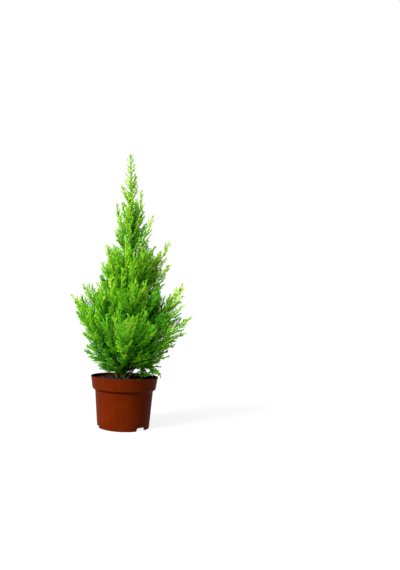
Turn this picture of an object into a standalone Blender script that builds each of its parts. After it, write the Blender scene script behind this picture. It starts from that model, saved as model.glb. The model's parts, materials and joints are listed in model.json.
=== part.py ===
"""A lemon cypress about half a metre tall, in a terracotta-coloured nursery pot.

The pot's underside stands on z = 0 with its middle at the origin, and the plant's front is towards -Y.
A trunk and two side stems rise from the compost. Boughs leave the trunk, and each limb carries one mass
of foliage: a plume whose stem bears sprays. A mass keeps to its own space, which is a sector of the
crown between two bowls that open upwards round the trunk.
Sizes are in metres and angles in degrees, unless a name says otherwise.
"""

import math
from random import Random
from typing import NamedTuple

import bmesh
import bpy
from mathutils import Quaternion, Vector
from mathutils.bvhtree import BVHTree

UP = Vector((0, 0, 1))
GAP = 0.0003  # between two pieces that meet
GOLDEN_ANGLE = 137.5

# Pot
POT_HEIGHT = 0.090
POT_RIM_RADIUS = 0.060
POT_LIP = 0.0008  # how far the lip stands out from the band
POT_LIP_HEIGHT = 0.0022
POT_BAND_HEIGHT = 0.0212
POT_BAND_FOOT_RADIUS = 0.0566
POT_BAND_ROUND = 0.0012  # the rounding under the band
POT_STEP_HEIGHT = 0.0036
POT_BODY_RADIUS = 0.0517
POT_FOOT_RADIUS = 0.0464
POT_FOOT_WIDTH = 0.0024
POT_WALL = 0.0014
POT_FLOOR_HEIGHT = 0.0062
POT_SIDES = 40
NOTCH_HEIGHT = 0.0056
NOTCH_WIDTH = 0.0185
NOTCH_SPLAY = 0.0017  # how much wider each notch is at the ground than halfway up, on either side
NOTCH_AZIMUTHS = (-48, 72, 192)
DRAIN_RADIUS = 0.0045
DRAIN_RING_RADIUS = 0.028
DRAINS = 6
DRAIN_SIDES = 12

# Compost
COMPOST_TOP = POT_HEIGHT - 0.0045
COMPOST_SAG = 0.0020  # how much lower it lies at the wall than round the stems
COMPOST_FLAT_RADIUS = 0.024
COMPOST_CLEARANCE = 0.0004

# Trunk, and the leader that carries on from its tip
TRUNK_TIP_HEIGHT = 0.360
LEADER_TIP_HEIGHT = 0.4865
TRUNK_FOOT_X = -0.0015
LEADER_TIP_X = -0.0020
TRUNK_BOW = 0.0048  # to +X, halfway up
TRUNK_FOOT_RADIUS = 0.0024
TRUNK_TIP_RADIUS = 0.0011
TRUNK_FLARE = 0.0016
TRUNK_FLARE_HEIGHT = 0.005
TRUNK_SIDES = 8
TRUNK_PIECES = 12
FLARE_RINGS = (0.003, 0.007, 0.014)  # heights above the compost

# Boughs and side stems
BOUGH_SIDES = 6
BOUGH_PIECES = 4
BOUGH_RADII = (0.0017, 0.0013)
SIDE_STEM_SHARE = 0.25  # of the way to the tip of the mass that the stem carries
STAGGER = 0.0035  # between the heights at which neighbours in a tier leave the trunk

# Foliage. A spray is a three-sided twig that widens into a blade with pairs of teeth swept forward,
# flat underneath and ridged above. Each tooth stands for a side shoot.
STEM_RADII = (0.0012, 0.0008)
STEM_PIECES = 4
TWIG_HALF_WIDTH = 0.0010
TWIG_FLOOR = 0.006  # the shortest twig
TIP_TEETH = 3  # on a plume's last spray
SPRAY_SHARE = 0.42  # the longest spray, as a share of its plume
SPRAY_END = 0.65  # the point past the last pair of teeth, as a share of the pitch between pairs
SPRAY_WAIST = 0.05  # of the spray's length, as are the next two
TOOTH_REACH = 0.22
TOOTH_FORWARD = 0.28
TOOTH_SHRINK = 0.25  # from one pair to the next
SPRAY_THICKNESS = 0.0014
SPRAY_ROOT = 0.12  # the share of a blade that may touch its neighbours' twigs
SPRAY_SINK = 0.004  # how deep a plume's last spray is set in its stem
SIDE_SPRAY_ANGLE = 42  # from the twig
SIDE_SPRAY_NECK = 0.0035
SIDE_SPRAY_SIZE = 0.8
SIDE_SPRAY_TURN = 60  # round the twig, from where the twig leaves its stem
SIDE_SPRAY_PLACES = ((0, 0.85), (180, 0.5))  # turn round the twig, and share of the way along it
SPIN_JITTER = 15
ANGLE_JITTER = 6
SIDE_JITTER = 25
TWIG_BEND = 0.3  # how much of its blade's bend a twig has
LIFT_ALONG = 0.35  # how much a blade bends towards the stem's heading, and then upwards
LIFT_UP = 0.12
TRIES = 8  # at finding room for a twig, each turned further round the stem and shorter
TRY_TURN = 45
TRY_SHRINK = 0.07
BLADE_ROLLS = (0, 60, 120)
BLADE_SIZES = (1, 0.8, 0.62)
SMALL_BLADE = 0.7  # below this size a blade has one pair of teeth fewer
SLIVER = 0.00001  # the shortest edge that the union of a mass keeps
CLEARANCE = 0.0006  # between foliage and the side of its space, or a limb
PAST_TIP = 0.002  # how far a mass may reach past its own tip
SPREAD_BELOW_TIP = 0.15
SPIRE_TOP_RADIUS = 0.005
SPIRE_TAPER = 0.22


class Bowl(NamedTuple):
    """A cone that opens upwards round the trunk: its height there, and its rise for each metre outwards."""

    height: float
    slope: float

    def depth(self, radius, height):
        """How far a point lies above the bowl, square to it."""
        return (height - self.height - self.slope * radius) / math.hypot(1, self.slope)


class Habit(NamedTuple):
    """How a mass grows. Sprays are longest at its foot, and swell is how fast they shorten to the tip."""

    twigs: int
    twig_share: float
    angle: float
    spray: float
    tip_spray: float
    swell: float
    teeth: int
    sides: tuple = SIDE_SPRAY_PLACES


class Tier(NamedTuple):
    """A ring of masses. Each plume is its azimuth, how far its tip is from the pot's axis, and how high."""

    name: str
    foot: float
    bough_share: float
    sag: float
    floor: Bowl
    roof: Bowl
    habit: Habit
    plumes: tuple


class SideStem(NamedTuple):
    """A stem from the compost that carries one mass: its foot, the point that bends it, and that mass."""

    foot: Vector
    bend: Vector
    tier: str
    plume: int


PLUME = Habit(twigs=5, twig_share=0.34, angle=42, spray=0.046, tip_spray=0.030, swell=0.4, teeth=3)
BROAD = PLUME._replace(spray=0.050)
SKIRT = PLUME._replace(twigs=3, spray=0.042)
SPIRE = Habit(
    twigs=11, twig_share=0.10, angle=27, spray=0.030, tip_spray=0.012, swell=0.2, teeth=2, sides=()
)

OVER_RIM = Bowl(POT_HEIGHT + 0.002, 0)
UNDERSIDE = Bowl(-0.034, 2)  # the crown's slanting edge, past the pot's rim
OVER_SKIRT = Bowl(0.106, 0.5)
OVER_LOWER = Bowl(0.135, 0.92)
OVER_MIDDLE = Bowl(0.180, 1.35)
OVER_UPPER = Bowl(0.250, 1.9)
OVER_TOP = Bowl(0.345, 3.6)

TIERS = (
    Tier(
        name="skirt",
        foot=0.096,
        bough_share=0,
        sag=-0.10,
        floor=OVER_RIM,
        roof=OVER_SKIRT,
        habit=SKIRT,
        plumes=(
            (-20, 0.078, 0.128),
            (52, 0.072, 0.130),
            (124, 0.070, 0.128),
            (196, 0.074, 0.134),
            (268, 0.066, 0.130),
        ),
    ),
    Tier(
        name="lower",
        foot=0.110,
        bough_share=0.14,
        sag=0.08,
        floor=OVER_SKIRT,
        roof=OVER_LOWER,
        habit=BROAD,
        plumes=(
            (-29, 0.1227, 0.195),
            (31, 0.100, 0.206),
            (91, 0.108, 0.212),
            (151, 0.1227, 0.236),
            (211, 0.098, 0.200),
            (271, 0.108, 0.188),
        ),
    ),
    Tier(
        name="middle",
        foot=0.148,
        bough_share=0.12,
        sag=0.10,
        floor=OVER_LOWER,
        roof=OVER_MIDDLE,
        habit=PLUME,
        plumes=(
            (-12, 0.099, 0.254),
            (60, 0.082, 0.262),
            (132, 0.085, 0.262),
            (204, 0.084, 0.249),
            (276, 0.078, 0.248),
        ),
    ),
    Tier(
        name="upper",
        foot=0.198,
        bough_share=0,
        sag=0.08,
        floor=OVER_MIDDLE,
        roof=OVER_UPPER,
        habit=PLUME,
        plumes=(
            (10, 0.0758, 0.334),
            (82, 0.052, 0.318),
            (154, 0.056, 0.2955),
            (226, 0.054, 0.315),
            (298, 0.050, 0.312),
        ),
    ),
    Tier(
        name="top",
        foot=0.270,
        bough_share=0,
        sag=0.05,
        floor=OVER_UPPER,
        roof=OVER_TOP,
        habit=PLUME,
        plumes=(
            (-5, 0.042, 0.376),
            (85, 0.022, 0.410),
            (175, 0.0237, 0.397),
            (265, 0.020, 0.404),
        ),
    ),
)

SIDE_STEMS = {
    "left_stem": SideStem(
        foot=Vector((-0.0140, 0.0030, COMPOST_TOP + GAP)),
        bend=Vector((-0.019, 0.006, 0.150)),
        tier="lower",
        plume=3,
    ),
    "right_stem": SideStem(
        foot=Vector((0.0055, -0.0075, COMPOST_TOP + GAP)),
        bend=Vector((0.024, -0.015, 0.126)),
        tier="lower",
        plume=0,
    ),
}

POT_COLOUR = (0.138, 0.020, 0.002)
COMPOST_COLOUR = (0.014, 0.006, 0.003)
BARK_COLOUR = (0.055, 0.024, 0.010)
LOW_FOLIAGE_COLOUR = (0.024, 0.128, 0.003)
TOP_FOLIAGE_COLOUR = (0.100, 0.319, 0.016)


# Lines and places


def mix(a, b, share):
    return a + (b - a) * share


def outward(azimuth):
    a = math.radians(azimuth)
    return Vector((math.cos(a), math.sin(a), 0))


def turned(heading, angle, spin):
    """A heading bent away by an angle, to the side that spin gives round it."""
    across = heading.cross(UP)
    across = across.normalized() if across.length > 0.1 else Vector((1, 0, 0))
    away = Quaternion(heading, math.radians(spin)) @ across
    return (heading * math.cos(math.radians(angle)) + away * math.sin(math.radians(angle))).normalized()


def axis_at(height):
    """The middle of the trunk, or of the leader above it."""
    share = min(max((height - COMPOST_TOP) / (LEADER_TIP_HEIGHT - COMPOST_TOP), 0), 1)
    x = mix(TRUNK_FOOT_X, LEADER_TIP_X, share) + TRUNK_BOW * math.sin(math.pi * share)
    return Vector((x, 0, height))


def trunk_radius(height):
    """The trunk's taper, with a flare that dies away up from the compost."""
    rise = max(height - COMPOST_TOP, 0)
    share = min(rise / (TRUNK_TIP_HEIGHT - COMPOST_TOP), 1)
    flare = TRUNK_FLARE * math.exp(-rise / TRUNK_FLARE_HEIGHT)
    return mix(TRUNK_FOOT_RADIUS, TRUNK_TIP_RADIUS, share) + flare


class Path:
    """A curve with one bend: it leaves its first point towards the second, and ends at the third."""

    def __init__(self, start, bend, end):
        self.start, self.bend, self.end = start, bend, end
        steps = [self.at(i / 32) for i in range(33)]
        self.length = sum((b - a).length for a, b in zip(steps, steps[1:]))

    def at(self, share):
        return mix(mix(self.start, self.bend, share), mix(self.bend, self.end, share), share)

    def heading(self, share):
        return mix(self.bend - self.start, self.end - self.bend, share).normalized()


class Limb(NamedTuple):
    """A tapering length of wood, through its points. A rooted one has a level cut at its foot."""

    points: list
    radii: list
    rooted: bool = False

    def distance(self, point):
        """From a point to the limb's surface."""
        nearest = math.inf
        for a, b, radius_a, radius_b in zip(self.points, self.points[1:], self.radii, self.radii[1:]):
            share = min(max((point - a).dot(b - a) / (b - a).length_squared, 0), 1)
            away = (point - mix(a, b, share)).length - mix(radius_a, radius_b, share)
            nearest = min(nearest, away)
        return nearest


def limb_along(path, start, end, pieces, radii):
    """A limb along part of a path."""
    steps = [i / pieces for i in range(pieces + 1)]
    return Limb([path.at(mix(start, end, s)) for s in steps], [mix(*radii, s) for s in steps])


def trunk_limb():
    """From a flat cut on the compost, with rings closer together in the flare."""
    heights = [COMPOST_TOP + GAP] + [COMPOST_TOP + h for h in FLARE_RINGS]
    above = heights[-1]
    heights += [mix(above, TRUNK_TIP_HEIGHT, (i + 1) / TRUNK_PIECES) for i in range(TRUNK_PIECES)]
    return Limb([axis_at(h) for h in heights], [trunk_radius(h) for h in heights], rooted=True)


def plume_path(tier, index):
    """From the middle of the trunk, or a side stem's foot, to the tip of a mass."""
    azimuth, reach, height = tier.plumes[index]
    tip = outward(azimuth) * reach + UP * height
    for stem in SIDE_STEMS.values():
        if (stem.tier, stem.plume) == (tier.name, index):
            return Path(stem.foot, stem.bend, tip)
    foot = axis_at(tier.foot + index % 3 * STAGGER)
    bend = mix(foot, tip, 0.5) - UP * (tier.sag * (tip - foot).length)
    return Path(foot, bend, tip)


def share_clear_of_trunk(path, radius):
    """How far along a path a limb of this radius must start to be a gap clear of the trunk."""
    share = 0
    while True:
        point, heading = path.at(share), path.heading(share)
        near = (point - axis_at(point.z)).length - radius * abs(heading.z)
        if near - trunk_radius(point.z - radius) > GAP:
            return share
        share += GAP / path.length / 4


# Spaces of the masses


class Sector:
    """The room of one mass: a slice of its tier, within its own reach and clear of every limb."""

    def __init__(self, tier, index, limbs):
        azimuth, self.reach, self.top = tier.plumes[index]
        before = (azimuth - tier.plumes[index - 1][0]) % 360 / 2
        after = (tier.plumes[(index + 1) % len(tier.plumes)][0] - azimuth) % 360 / 2
        self.start, self.width = azimuth - before, before + after
        self.outward = outward(azimuth)
        self.floor, self.roof, self.limbs = tier.floor, tier.roof, limbs

    def holds(self, point, margin):
        need = CLEARANCE + margin
        out = point - axis_at(point.z)
        radius = math.hypot(out.x, out.y)
        turn = (math.degrees(math.atan2(out.y, out.x)) - self.start) % 360
        if turn > self.width:
            return False
        for angle in (turn, self.width - turn):
            if radius * math.sin(math.radians(min(angle, 90))) < need:
                return False
        if self.floor.depth(radius, point.z) < need or self.roof.depth(radius, point.z) > -need:
            return False
        if UNDERSIDE.depth(radius, point.z) < 0 or point.z > self.top + PAST_TIP:
            return False
        if radius > self.reach + PAST_TIP + SPREAD_BELOW_TIP * (self.top - point.z):
            return False
        return all(limb.distance(point) > need for limb in self.limbs)


class Spire:
    """The room of the leader: a spike all round the axis, above the highest bowl."""

    def __init__(self, limbs):
        self.limbs = limbs
        self.outward = outward(0)

    def holds(self, point, margin):
        need = CLEARANCE + margin
        out = point - axis_at(point.z)
        radius = math.hypot(out.x, out.y)
        if radius > SPIRE_TOP_RADIUS + SPIRE_TAPER * (LEADER_TIP_HEIGHT - point.z):
            return False
        if OVER_TOP.depth(radius, point.z) < need:
            return False
        return all(limb.distance(point) > need for limb in self.limbs)


# Growth of a mass


class Spray(NamedTuple):
    """A twig from root to fork, then a toothed blade: its heading, side, length and pairs of teeth."""

    root: Vector
    fork: Vector
    heading: Vector
    side: Vector
    length: float
    teeth: int

    def mid(self, station):
        return self.fork + self.heading * (self.length * station / (self.teeth + SPRAY_END))

    def tip(self):
        return self.fork + self.heading * self.length

    def edge(self, way):
        """The twig's edge, then the waists and tooth tips, along one side."""
        points = [self.root + self.side * (TWIG_HALF_WIDTH * way)]
        for i in range(self.teeth):
            size = self.length * (1 - TOOTH_SHRINK * i)
            points.append(self.mid(i) + self.side * (max(SPRAY_WAIST * size, TWIG_HALF_WIDTH) * way))
            tooth = self.side * (TOOTH_REACH * way) + self.heading * TOOTH_FORWARD
            points.append(self.mid(i) + tooth * size)
        return points

    def probes(self):
        """Points that stand for the whole spray when its room is tested."""
        points = [self.mid(i / 2) for i in range(2 * self.teeth + 1)]
        for way in (1, -1):
            edge = self.edge(way)[1:] + [self.tip()]
            points += edge + [mix(a, b, 0.5) for a, b in zip(edge, edge[1:])]
        return points + [mix(self.root, self.fork, 0.6)]

    def shape(self):
        """Corners and faces, from one edge, the other edge, the ridge and the tip."""
        ridge = self.heading.cross(self.side).normalized() * SPRAY_THICKNESS
        near, far = self.edge(1), self.edge(-1)
        tops = [self.root + ridge] + [self.mid(i) + ridge for i in range(self.teeth)]
        points = near + far + tops + [self.tip()]
        count, tip = len(near), len(points) - 1
        top = 2 * count
        faces = [(0, top, count), (0, count, count + 1, 1)]
        faces += [(start, start + 1, top + 1, top) for start in (0, count)]
        for i in range(self.teeth):
            last = i == self.teeth - 1
            waist, crest = 1 + 2 * i, top + 1 + i
            for start in (waist, count + waist):
                tooth = start + 1
                beyond = tip if last else start + 2
                faces += [(crest, start, tooth), (crest, tooth, beyond), (start, tooth, beyond)]
                if not last:
                    faces.append((crest, beyond, crest + 1))
            ahead = (tip,) if last else (waist + 2, count + waist + 2)
            faces.append((waist, *ahead, count + waist))
        return points, faces

    def whole_tree(self):
        return BVHTree.FromPolygons(*self.shape())

    def blade_tree(self):
        """The blade a little past its fork, where it must be clear of everything."""
        ahead = mix(self.fork, self.tip(), SPRAY_ROOT)
        size = self.length * (1 - SPRAY_ROOT)
        return self._replace(root=ahead, fork=ahead + self.heading * GAP, length=size - GAP).whole_tree()


class Mass:
    """The stem and sprays of one mass. A spray is added only where it has room."""

    def __init__(self, space, stem):
        self.space = space
        self.stem = stem
        self.sprays = []
        self.trees = []

    def add(self, spray):
        self.sprays.append(spray)
        self.trees.append((spray.whole_tree(), spray.blade_tree()))

    def crosses(self, spray, bearer):
        """Whether a spray would cross the stem or another spray, apart from the twig that bears it."""
        whole, blade = spray.whole_tree(), spray.blade_tree()
        for i, (other_whole, other_blade) in enumerate(self.trees):
            if blade.overlap(other_blade if i == bearer else other_whole):
                return True
            if i != bearer and whole.overlap(other_blade):
                return True
        middles = (spray.mid(i / 2) for i in range(1, 2 * spray.teeth))
        return any(self.stem.distance(p) < TWIG_HALF_WIDTH for p in middles)

    def try_spray(self, root, fork, heading, spin, length, teeth, bearer=None):
        """Adds a spray where it fits, rolled or shortened first if it doesn't. Says whether it did."""
        sides = [turned(heading, 90, spin + roll) for roll in BLADE_ROLLS]
        sides.append(heading.cross(UP.cross(self.space.outward)).normalized())
        for size in BLADE_SIZES:
            pairs = teeth if size > SMALL_BLADE else teeth - 1
            for side in sides:
                spray = Spray(root, fork, heading, side, length * size, pairs)
                fits = all(self.space.holds(p, SPRAY_THICKNESS / 2) for p in spray.probes())
                if fits and not self.crosses(spray, bearer):
                    self.add(spray)
                    return True
        return False


def grow(path, start, space, seed, habit):
    """Sprays at the golden angle round a stem, each with smaller ones to either side of its twig."""
    random = Random(seed)
    size = min(habit.spray, SPRAY_SHARE * path.length)
    tip_share = 1 - size / path.length
    mass = Mass(space, limb_along(path, start, tip_share, STEM_PIECES, STEM_RADII))
    fork = path.at(tip_share)
    heading = (path.end - fork).normalized()
    side = UP.cross(space.outward).cross(heading).normalized()
    mass.add(Spray(fork - heading * SPRAY_SINK, fork, heading, side, (path.end - fork).length, TIP_TEETH))
    spin = random.uniform(0, 360)
    for i in range(habit.twigs):
        share = mix(start, tip_share, (i + 0.5) / habit.twigs)
        spin += GOLDEN_ANGLE + random.uniform(-SPIN_JITTER, SPIN_JITTER)
        twig = grow_twig(mass, path, share, tip_share, size, spin, habit, random)
        if twig:
            grow_side_sprays(mass, twig, spin, size * SIDE_SPRAY_SIZE, habit, random)
    return mass


def grow_twig(mass, path, share, tip_share, size, spin, habit, random):
    """One spray from the stem, in the first direction round it that has room."""
    left = path.length * (tip_share - share)
    root, along = path.at(share), path.heading(share)
    for attempt in range(TRIES):
        reach = (TWIG_FLOOR + habit.twig_share * left) * (1 - TRY_SHRINK * attempt)
        angle = habit.angle + random.uniform(-ANGLE_JITTER, ANGLE_JITTER)
        heading = turned(along, angle, spin + attempt * TRY_TURN)
        lifted = (heading + along * LIFT_ALONG + UP * LIFT_UP).normalized()
        fork = root + mix(heading, lifted, TWIG_BEND).normalized() * reach
        length = min(size, habit.tip_spray + habit.swell * left)
        if mass.try_spray(root, fork, lifted, random.uniform(0, 180), length, habit.teeth):
            return mass.sprays[-1]
    return None


def grow_side_sprays(mass, twig, spin, size, habit, random):
    bearer = len(mass.sprays) - 1
    for turn, share in habit.sides:
        around = spin + SIDE_SPRAY_TURN + turn + random.uniform(-SIDE_JITTER, SIDE_JITTER)
        heading = turned(twig.heading, SIDE_SPRAY_ANGLE, around)
        root = mix(twig.root, twig.fork, share)
        fork = root + heading * SIDE_SPRAY_NECK
        mass.try_spray(root, fork, heading, random.uniform(0, 180), size, habit.teeth - 1, bearer)


# Meshes and objects


def remove_all():
    for obj in list(bpy.data.objects):
        bpy.data.objects.remove(obj)


def new_object(name, points, faces, collection=None):
    """An object whose closed mesh has its faces turned outwards."""
    mesh = bpy.data.meshes.new(name)
    mesh.from_pydata(points, [], faces)
    shape = bmesh.new()
    shape.from_mesh(mesh)
    bmesh.ops.recalc_face_normals(shape, faces=shape.faces)
    shape.to_mesh(mesh)
    shape.free()
    obj = bpy.data.objects.new(name, mesh)
    (collection or bpy.context.scene.collection).objects.link(obj)
    return obj


def ringed(name, rings, collection=None):
    """An object through rings of equal count, with a flat cap at each end."""
    sides = len(rings[0])
    last = (len(rings) - 1) * sides
    faces = [tuple(range(sides)), tuple(range(last, last + sides))]
    for i in range(len(rings) - 1):
        for j in range(sides):
            k = (j + 1) % sides
            faces.append((i * sides + j, i * sides + k, (i + 1) * sides + k, (i + 1) * sides + j))
    return new_object(name, [p for ring in rings for p in ring], faces, collection)


def limb_object(name, limb, sides, collection=None):
    """Rings square to the limb, turned along it so that they don't twist."""
    points = limb.points
    rings = []
    across = (points[1] - points[0]).orthogonal().normalized()
    for i, radius in enumerate(limb.radii):
        heading = (points[min(i + 1, len(points) - 1)] - points[max(i - 1, 0)]).normalized()
        if limb.rooted and i == 0:
            heading = UP
        across = (across - heading * across.dot(heading)).normalized()
        up = heading.cross(across)
        turns = [2 * math.pi * j / sides for j in range(sides)]
        rings.append([points[i] + (across * math.cos(t) + up * math.sin(t)) * radius for t in turns])
    return ringed(name, rings, collection)


def finish(obj, colour, roughness, round_angle=None):
    """Gives an object its own Principled material, and rounds it where its faces meet below an angle."""
    material = bpy.data.materials.new(obj.name + " finish")
    material.use_nodes = True
    shader = material.node_tree.nodes["Principled BSDF"]
    shader.inputs["Base Color"].default_value = (*colour, 1)
    shader.inputs["Roughness"].default_value = roughness
    shader.inputs["Metallic"].default_value = 0
    obj.data.materials.clear()
    obj.data.materials.append(material)
    if round_angle:
        obj.data.shade_smooth()
        obj.data.set_sharp_from_angle(angle=math.radians(round_angle))


def islands(shape):
    """The faces of each connected part of a mesh."""
    left = set(shape.faces)
    while left:
        found = [left.pop()]
        for face in found:
            near = {f for edge in face.edges for f in edge.link_faces} & left
            left -= near
            found += near
        yield found


def keep_largest(mesh):
    """Fills any hollow that the union has sealed, and drops slivers and any loose scrap."""
    shape = bmesh.new()
    shape.from_mesh(mesh)
    bmesh.ops.triangulate(shape, faces=shape.faces)
    bmesh.ops.dissolve_degenerate(shape, dist=SLIVER, edges=shape.edges)
    found = sorted(islands(shape), key=len)
    bmesh.ops.delete(shape, geom=[f for island in found[:-1] for f in island], context="FACES")
    shape.to_mesh(mesh)
    shape.free()


def join_mass(name, grown):
    """One union of a mass's stem with its sprays."""
    mass = limb_object(name, grown.stem, 3)
    sprays = bpy.data.collections.new(name + " sprays")
    bpy.context.scene.collection.children.link(sprays)
    for i, spray in enumerate(grown.sprays):
        new_object(f"{name} spray {i}", *spray.shape(), sprays)
    union = mass.modifiers.new("Join", "BOOLEAN")
    union.operation = "UNION"
    union.solver = "EXACT"
    union.operand_type = "COLLECTION"
    union.collection = sprays
    joined = bpy.data.meshes.new_from_object(mass.evaluated_get(bpy.context.evaluated_depsgraph_get()))
    keep_largest(joined)
    mass.modifiers.clear()
    mass.data = joined
    for obj in list(sprays.objects):
        bpy.data.objects.remove(obj)
    bpy.data.collections.remove(sprays)
    return mass


def turned_object(name, profile, sides):
    """A solid turned about the z axis from (radius, height) pairs whose two ends lie on the axis."""
    points = [Vector((0, 0, profile[0][1])), Vector((0, 0, profile[-1][1]))]
    middle = profile[1:-1]
    for radius, height in middle:
        points += [outward(360 * j / sides) * radius + UP * height for j in range(sides)]
    faces = []
    for j in range(sides):
        k = (j + 1) % sides
        last = 2 + (len(middle) - 1) * sides
        faces += [(0, 2 + j, 2 + k), (1, last + j, last + k)]
        for i in range(len(middle) - 1):
            low, high = 2 + i * sides, 2 + (i + 1) * sides
            faces.append((low + j, low + k, high + k, high + j))
    return new_object(name, points, faces)


# Pot and compost


def outer_radius(height):
    """The pot's outside, below its band."""
    step_foot = POT_HEIGHT - POT_BAND_HEIGHT - POT_STEP_HEIGHT
    return mix(POT_FOOT_RADIUS, POT_BODY_RADIUS, height / step_foot)


def inner_radius(height):
    """The pot's inside wall, which follows the outside."""
    band_foot = POT_HEIGHT - POT_BAND_HEIGHT
    step_foot = band_foot - POT_STEP_HEIGHT
    if height >= band_foot:
        share = (height - band_foot) / POT_BAND_HEIGHT
        return mix(POT_BAND_FOOT_RADIUS, POT_RIM_RADIUS - POT_LIP, share) - POT_WALL
    if height >= step_foot:
        share = (height - step_foot) / POT_STEP_HEIGHT
        return mix(outer_radius(step_foot), POT_BAND_FOOT_RADIUS, share) - POT_WALL
    return outer_radius(height) - POT_WALL


def pot_profile():
    """From the middle of the floor's underside, out and up the outside, and down the inside."""
    band_foot = POT_HEIGHT - POT_BAND_HEIGHT
    step_foot = band_foot - POT_STEP_HEIGHT
    lip_foot = POT_HEIGHT - POT_LIP_HEIGHT
    floor_top = POT_FLOOR_HEIGHT + POT_WALL
    return (
        (0, POT_FLOOR_HEIGHT),
        (POT_FOOT_RADIUS - POT_FOOT_WIDTH, POT_FLOOR_HEIGHT),
        (POT_FOOT_RADIUS - POT_FOOT_WIDTH, 0),
        (POT_FOOT_RADIUS, 0),
        (outer_radius(step_foot), step_foot),
        (POT_BAND_FOOT_RADIUS - POT_BAND_ROUND, band_foot - POT_BAND_ROUND),
        (POT_BAND_FOOT_RADIUS, band_foot),
        (POT_RIM_RADIUS - POT_LIP, lip_foot - POT_LIP),
        (POT_RIM_RADIUS, lip_foot),
        (POT_RIM_RADIUS, POT_HEIGHT),
        (inner_radius(POT_HEIGHT), POT_HEIGHT),
        (inner_radius(band_foot), band_foot),
        (inner_radius(step_foot), step_foot),
        (inner_radius(floor_top), floor_top),
        (0, floor_top),
    )


def notch_cutter(index, azimuth):
    """A block across the foot ring, wider at the ground than at its top."""
    out = outward(azimuth)
    across = UP.cross(out)
    rings = []
    low, high = (-NOTCH_HEIGHT, NOTCH_WIDTH / 2 + 2 * NOTCH_SPLAY), (NOTCH_HEIGHT, NOTCH_WIDTH / 2)
    for height, half in (low, high):
        near = out * (POT_FOOT_RADIUS - 4 * POT_FOOT_WIDTH) + UP * height
        far = out * (POT_FOOT_RADIUS + 4 * POT_FOOT_WIDTH) + UP * height
        rings.append((near - across * half, far - across * half, far + across * half, near + across * half))
    return ringed(f"foot notch {index}", rings)


def drain_cutter(index):
    centre = outward(360 * (index + 0.5) / DRAINS) * DRAIN_RING_RADIUS + UP * POT_FLOOR_HEIGHT
    ends = [centre - UP * 2 * POT_WALL, centre + UP * 3 * POT_WALL]
    return limb_object(f"drain {index}", Limb(ends, [DRAIN_RADIUS, DRAIN_RADIUS]), DRAIN_SIDES)


def build_pot():
    pot = turned_object("pot", pot_profile(), POT_SIDES)
    cutters = [notch_cutter(i, azimuth) for i, azimuth in enumerate(NOTCH_AZIMUTHS)]
    cutters += [drain_cutter(i) for i in range(DRAINS)]
    for cutter in cutters:
        cutter.hide_render = True
        cutter.display_type = "WIRE"
        cut = pot.modifiers.new(cutter.name, "BOOLEAN")
        cut.operation = "DIFFERENCE"
        cut.solver = "EXACT"
        cut.object = cutter
    finish(pot, POT_COLOUR, 0.42, round_angle=30)
    return [pot] + cutters


def build_compost():
    """Fills the pot, a little lower at the wall than round the stems."""
    wall_height = COMPOST_TOP - COMPOST_SAG
    floor = POT_FLOOR_HEIGHT + POT_WALL + GAP
    band_foot = POT_HEIGHT - POT_BAND_HEIGHT
    shoulder = mix(COMPOST_FLAT_RADIUS, inner_radius(wall_height), 0.6)
    profile = [(0, floor)]
    for height in (floor, band_foot - POT_STEP_HEIGHT, band_foot, wall_height):
        profile.append((inner_radius(height) - COMPOST_CLEARANCE, height))
    profile.append((shoulder, mix(COMPOST_TOP, wall_height, 0.4)))
    profile += [(COMPOST_FLAT_RADIUS, COMPOST_TOP), (0, COMPOST_TOP)]
    compost = turned_object("compost", profile, POT_SIDES)
    finish(compost, COMPOST_COLOUR, 0.95, round_angle=30)
    return [compost]


# Plant


def plan_limbs():
    """The wood, and for each mass its path and where it starts along it, a gap past its limb."""
    wood = {"trunk": trunk_limb()}
    starts = {}
    carried = {(stem.tier, stem.plume): name for name, stem in SIDE_STEMS.items()}
    for tier in TIERS:
        for i in range(len(tier.plumes)):
            path = plume_path(tier, i)
            if (tier.name, i) in carried:
                end = SIDE_STEM_SHARE
                stem = limb_along(path, 0, end, BOUGH_PIECES, BOUGH_RADII)
                wood[carried[tier.name, i]] = stem._replace(rooted=True)
            elif tier.bough_share:
                start = share_clear_of_trunk(path, BOUGH_RADII[0])
                end = start + tier.bough_share
                wood[f"{tier.name}_bough_{i + 1}"] = limb_along(path, start, end, BOUGH_PIECES, BOUGH_RADII)
            else:
                end = share_clear_of_trunk(path, STEM_RADII[0]) - GAP / path.length
            starts[tier.name, i] = path, end + GAP / path.length
    return wood, starts


def build_wood(wood):
    built = []
    for name, limb in wood.items():
        built.append(limb_object(name, limb, TRUNK_SIDES if name == "trunk" else BOUGH_SIDES))
        finish(built[-1], BARK_COLOUR, 0.85, round_angle=60)
    return built


def foliage_colour(height):
    share = (height - POT_HEIGHT) / (LEADER_TIP_HEIGHT - POT_HEIGHT)
    return [mix(low, top, share) for low, top in zip(LOW_FOLIAGE_COLOUR, TOP_FOLIAGE_COLOUR)]


def build_foliage(limbs, starts):
    built = []
    for tier in TIERS:
        for i, (_, _, height) in enumerate(tier.plumes):
            path, start = starts[tier.name, i]
            name = f"{tier.name}_foliage_{i + 1}"
            built.append(join_mass(name, grow(path, start, Sector(tier, i, limbs), name, tier.habit)))
            finish(built[-1], foliage_colour(height), 0.6)
    foot, tip = axis_at(TRUNK_TIP_HEIGHT), axis_at(LEADER_TIP_HEIGHT)
    path = Path(foot, axis_at(mix(TRUNK_TIP_HEIGHT, LEADER_TIP_HEIGHT, 0.5)), tip)
    name = "leader_foliage"
    built.append(join_mass(name, grow(path, GAP / path.length, Spire(limbs), name, SPIRE)))
    finish(built[-1], foliage_colour(LEADER_TIP_HEIGHT), 0.6)
    return built


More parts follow.
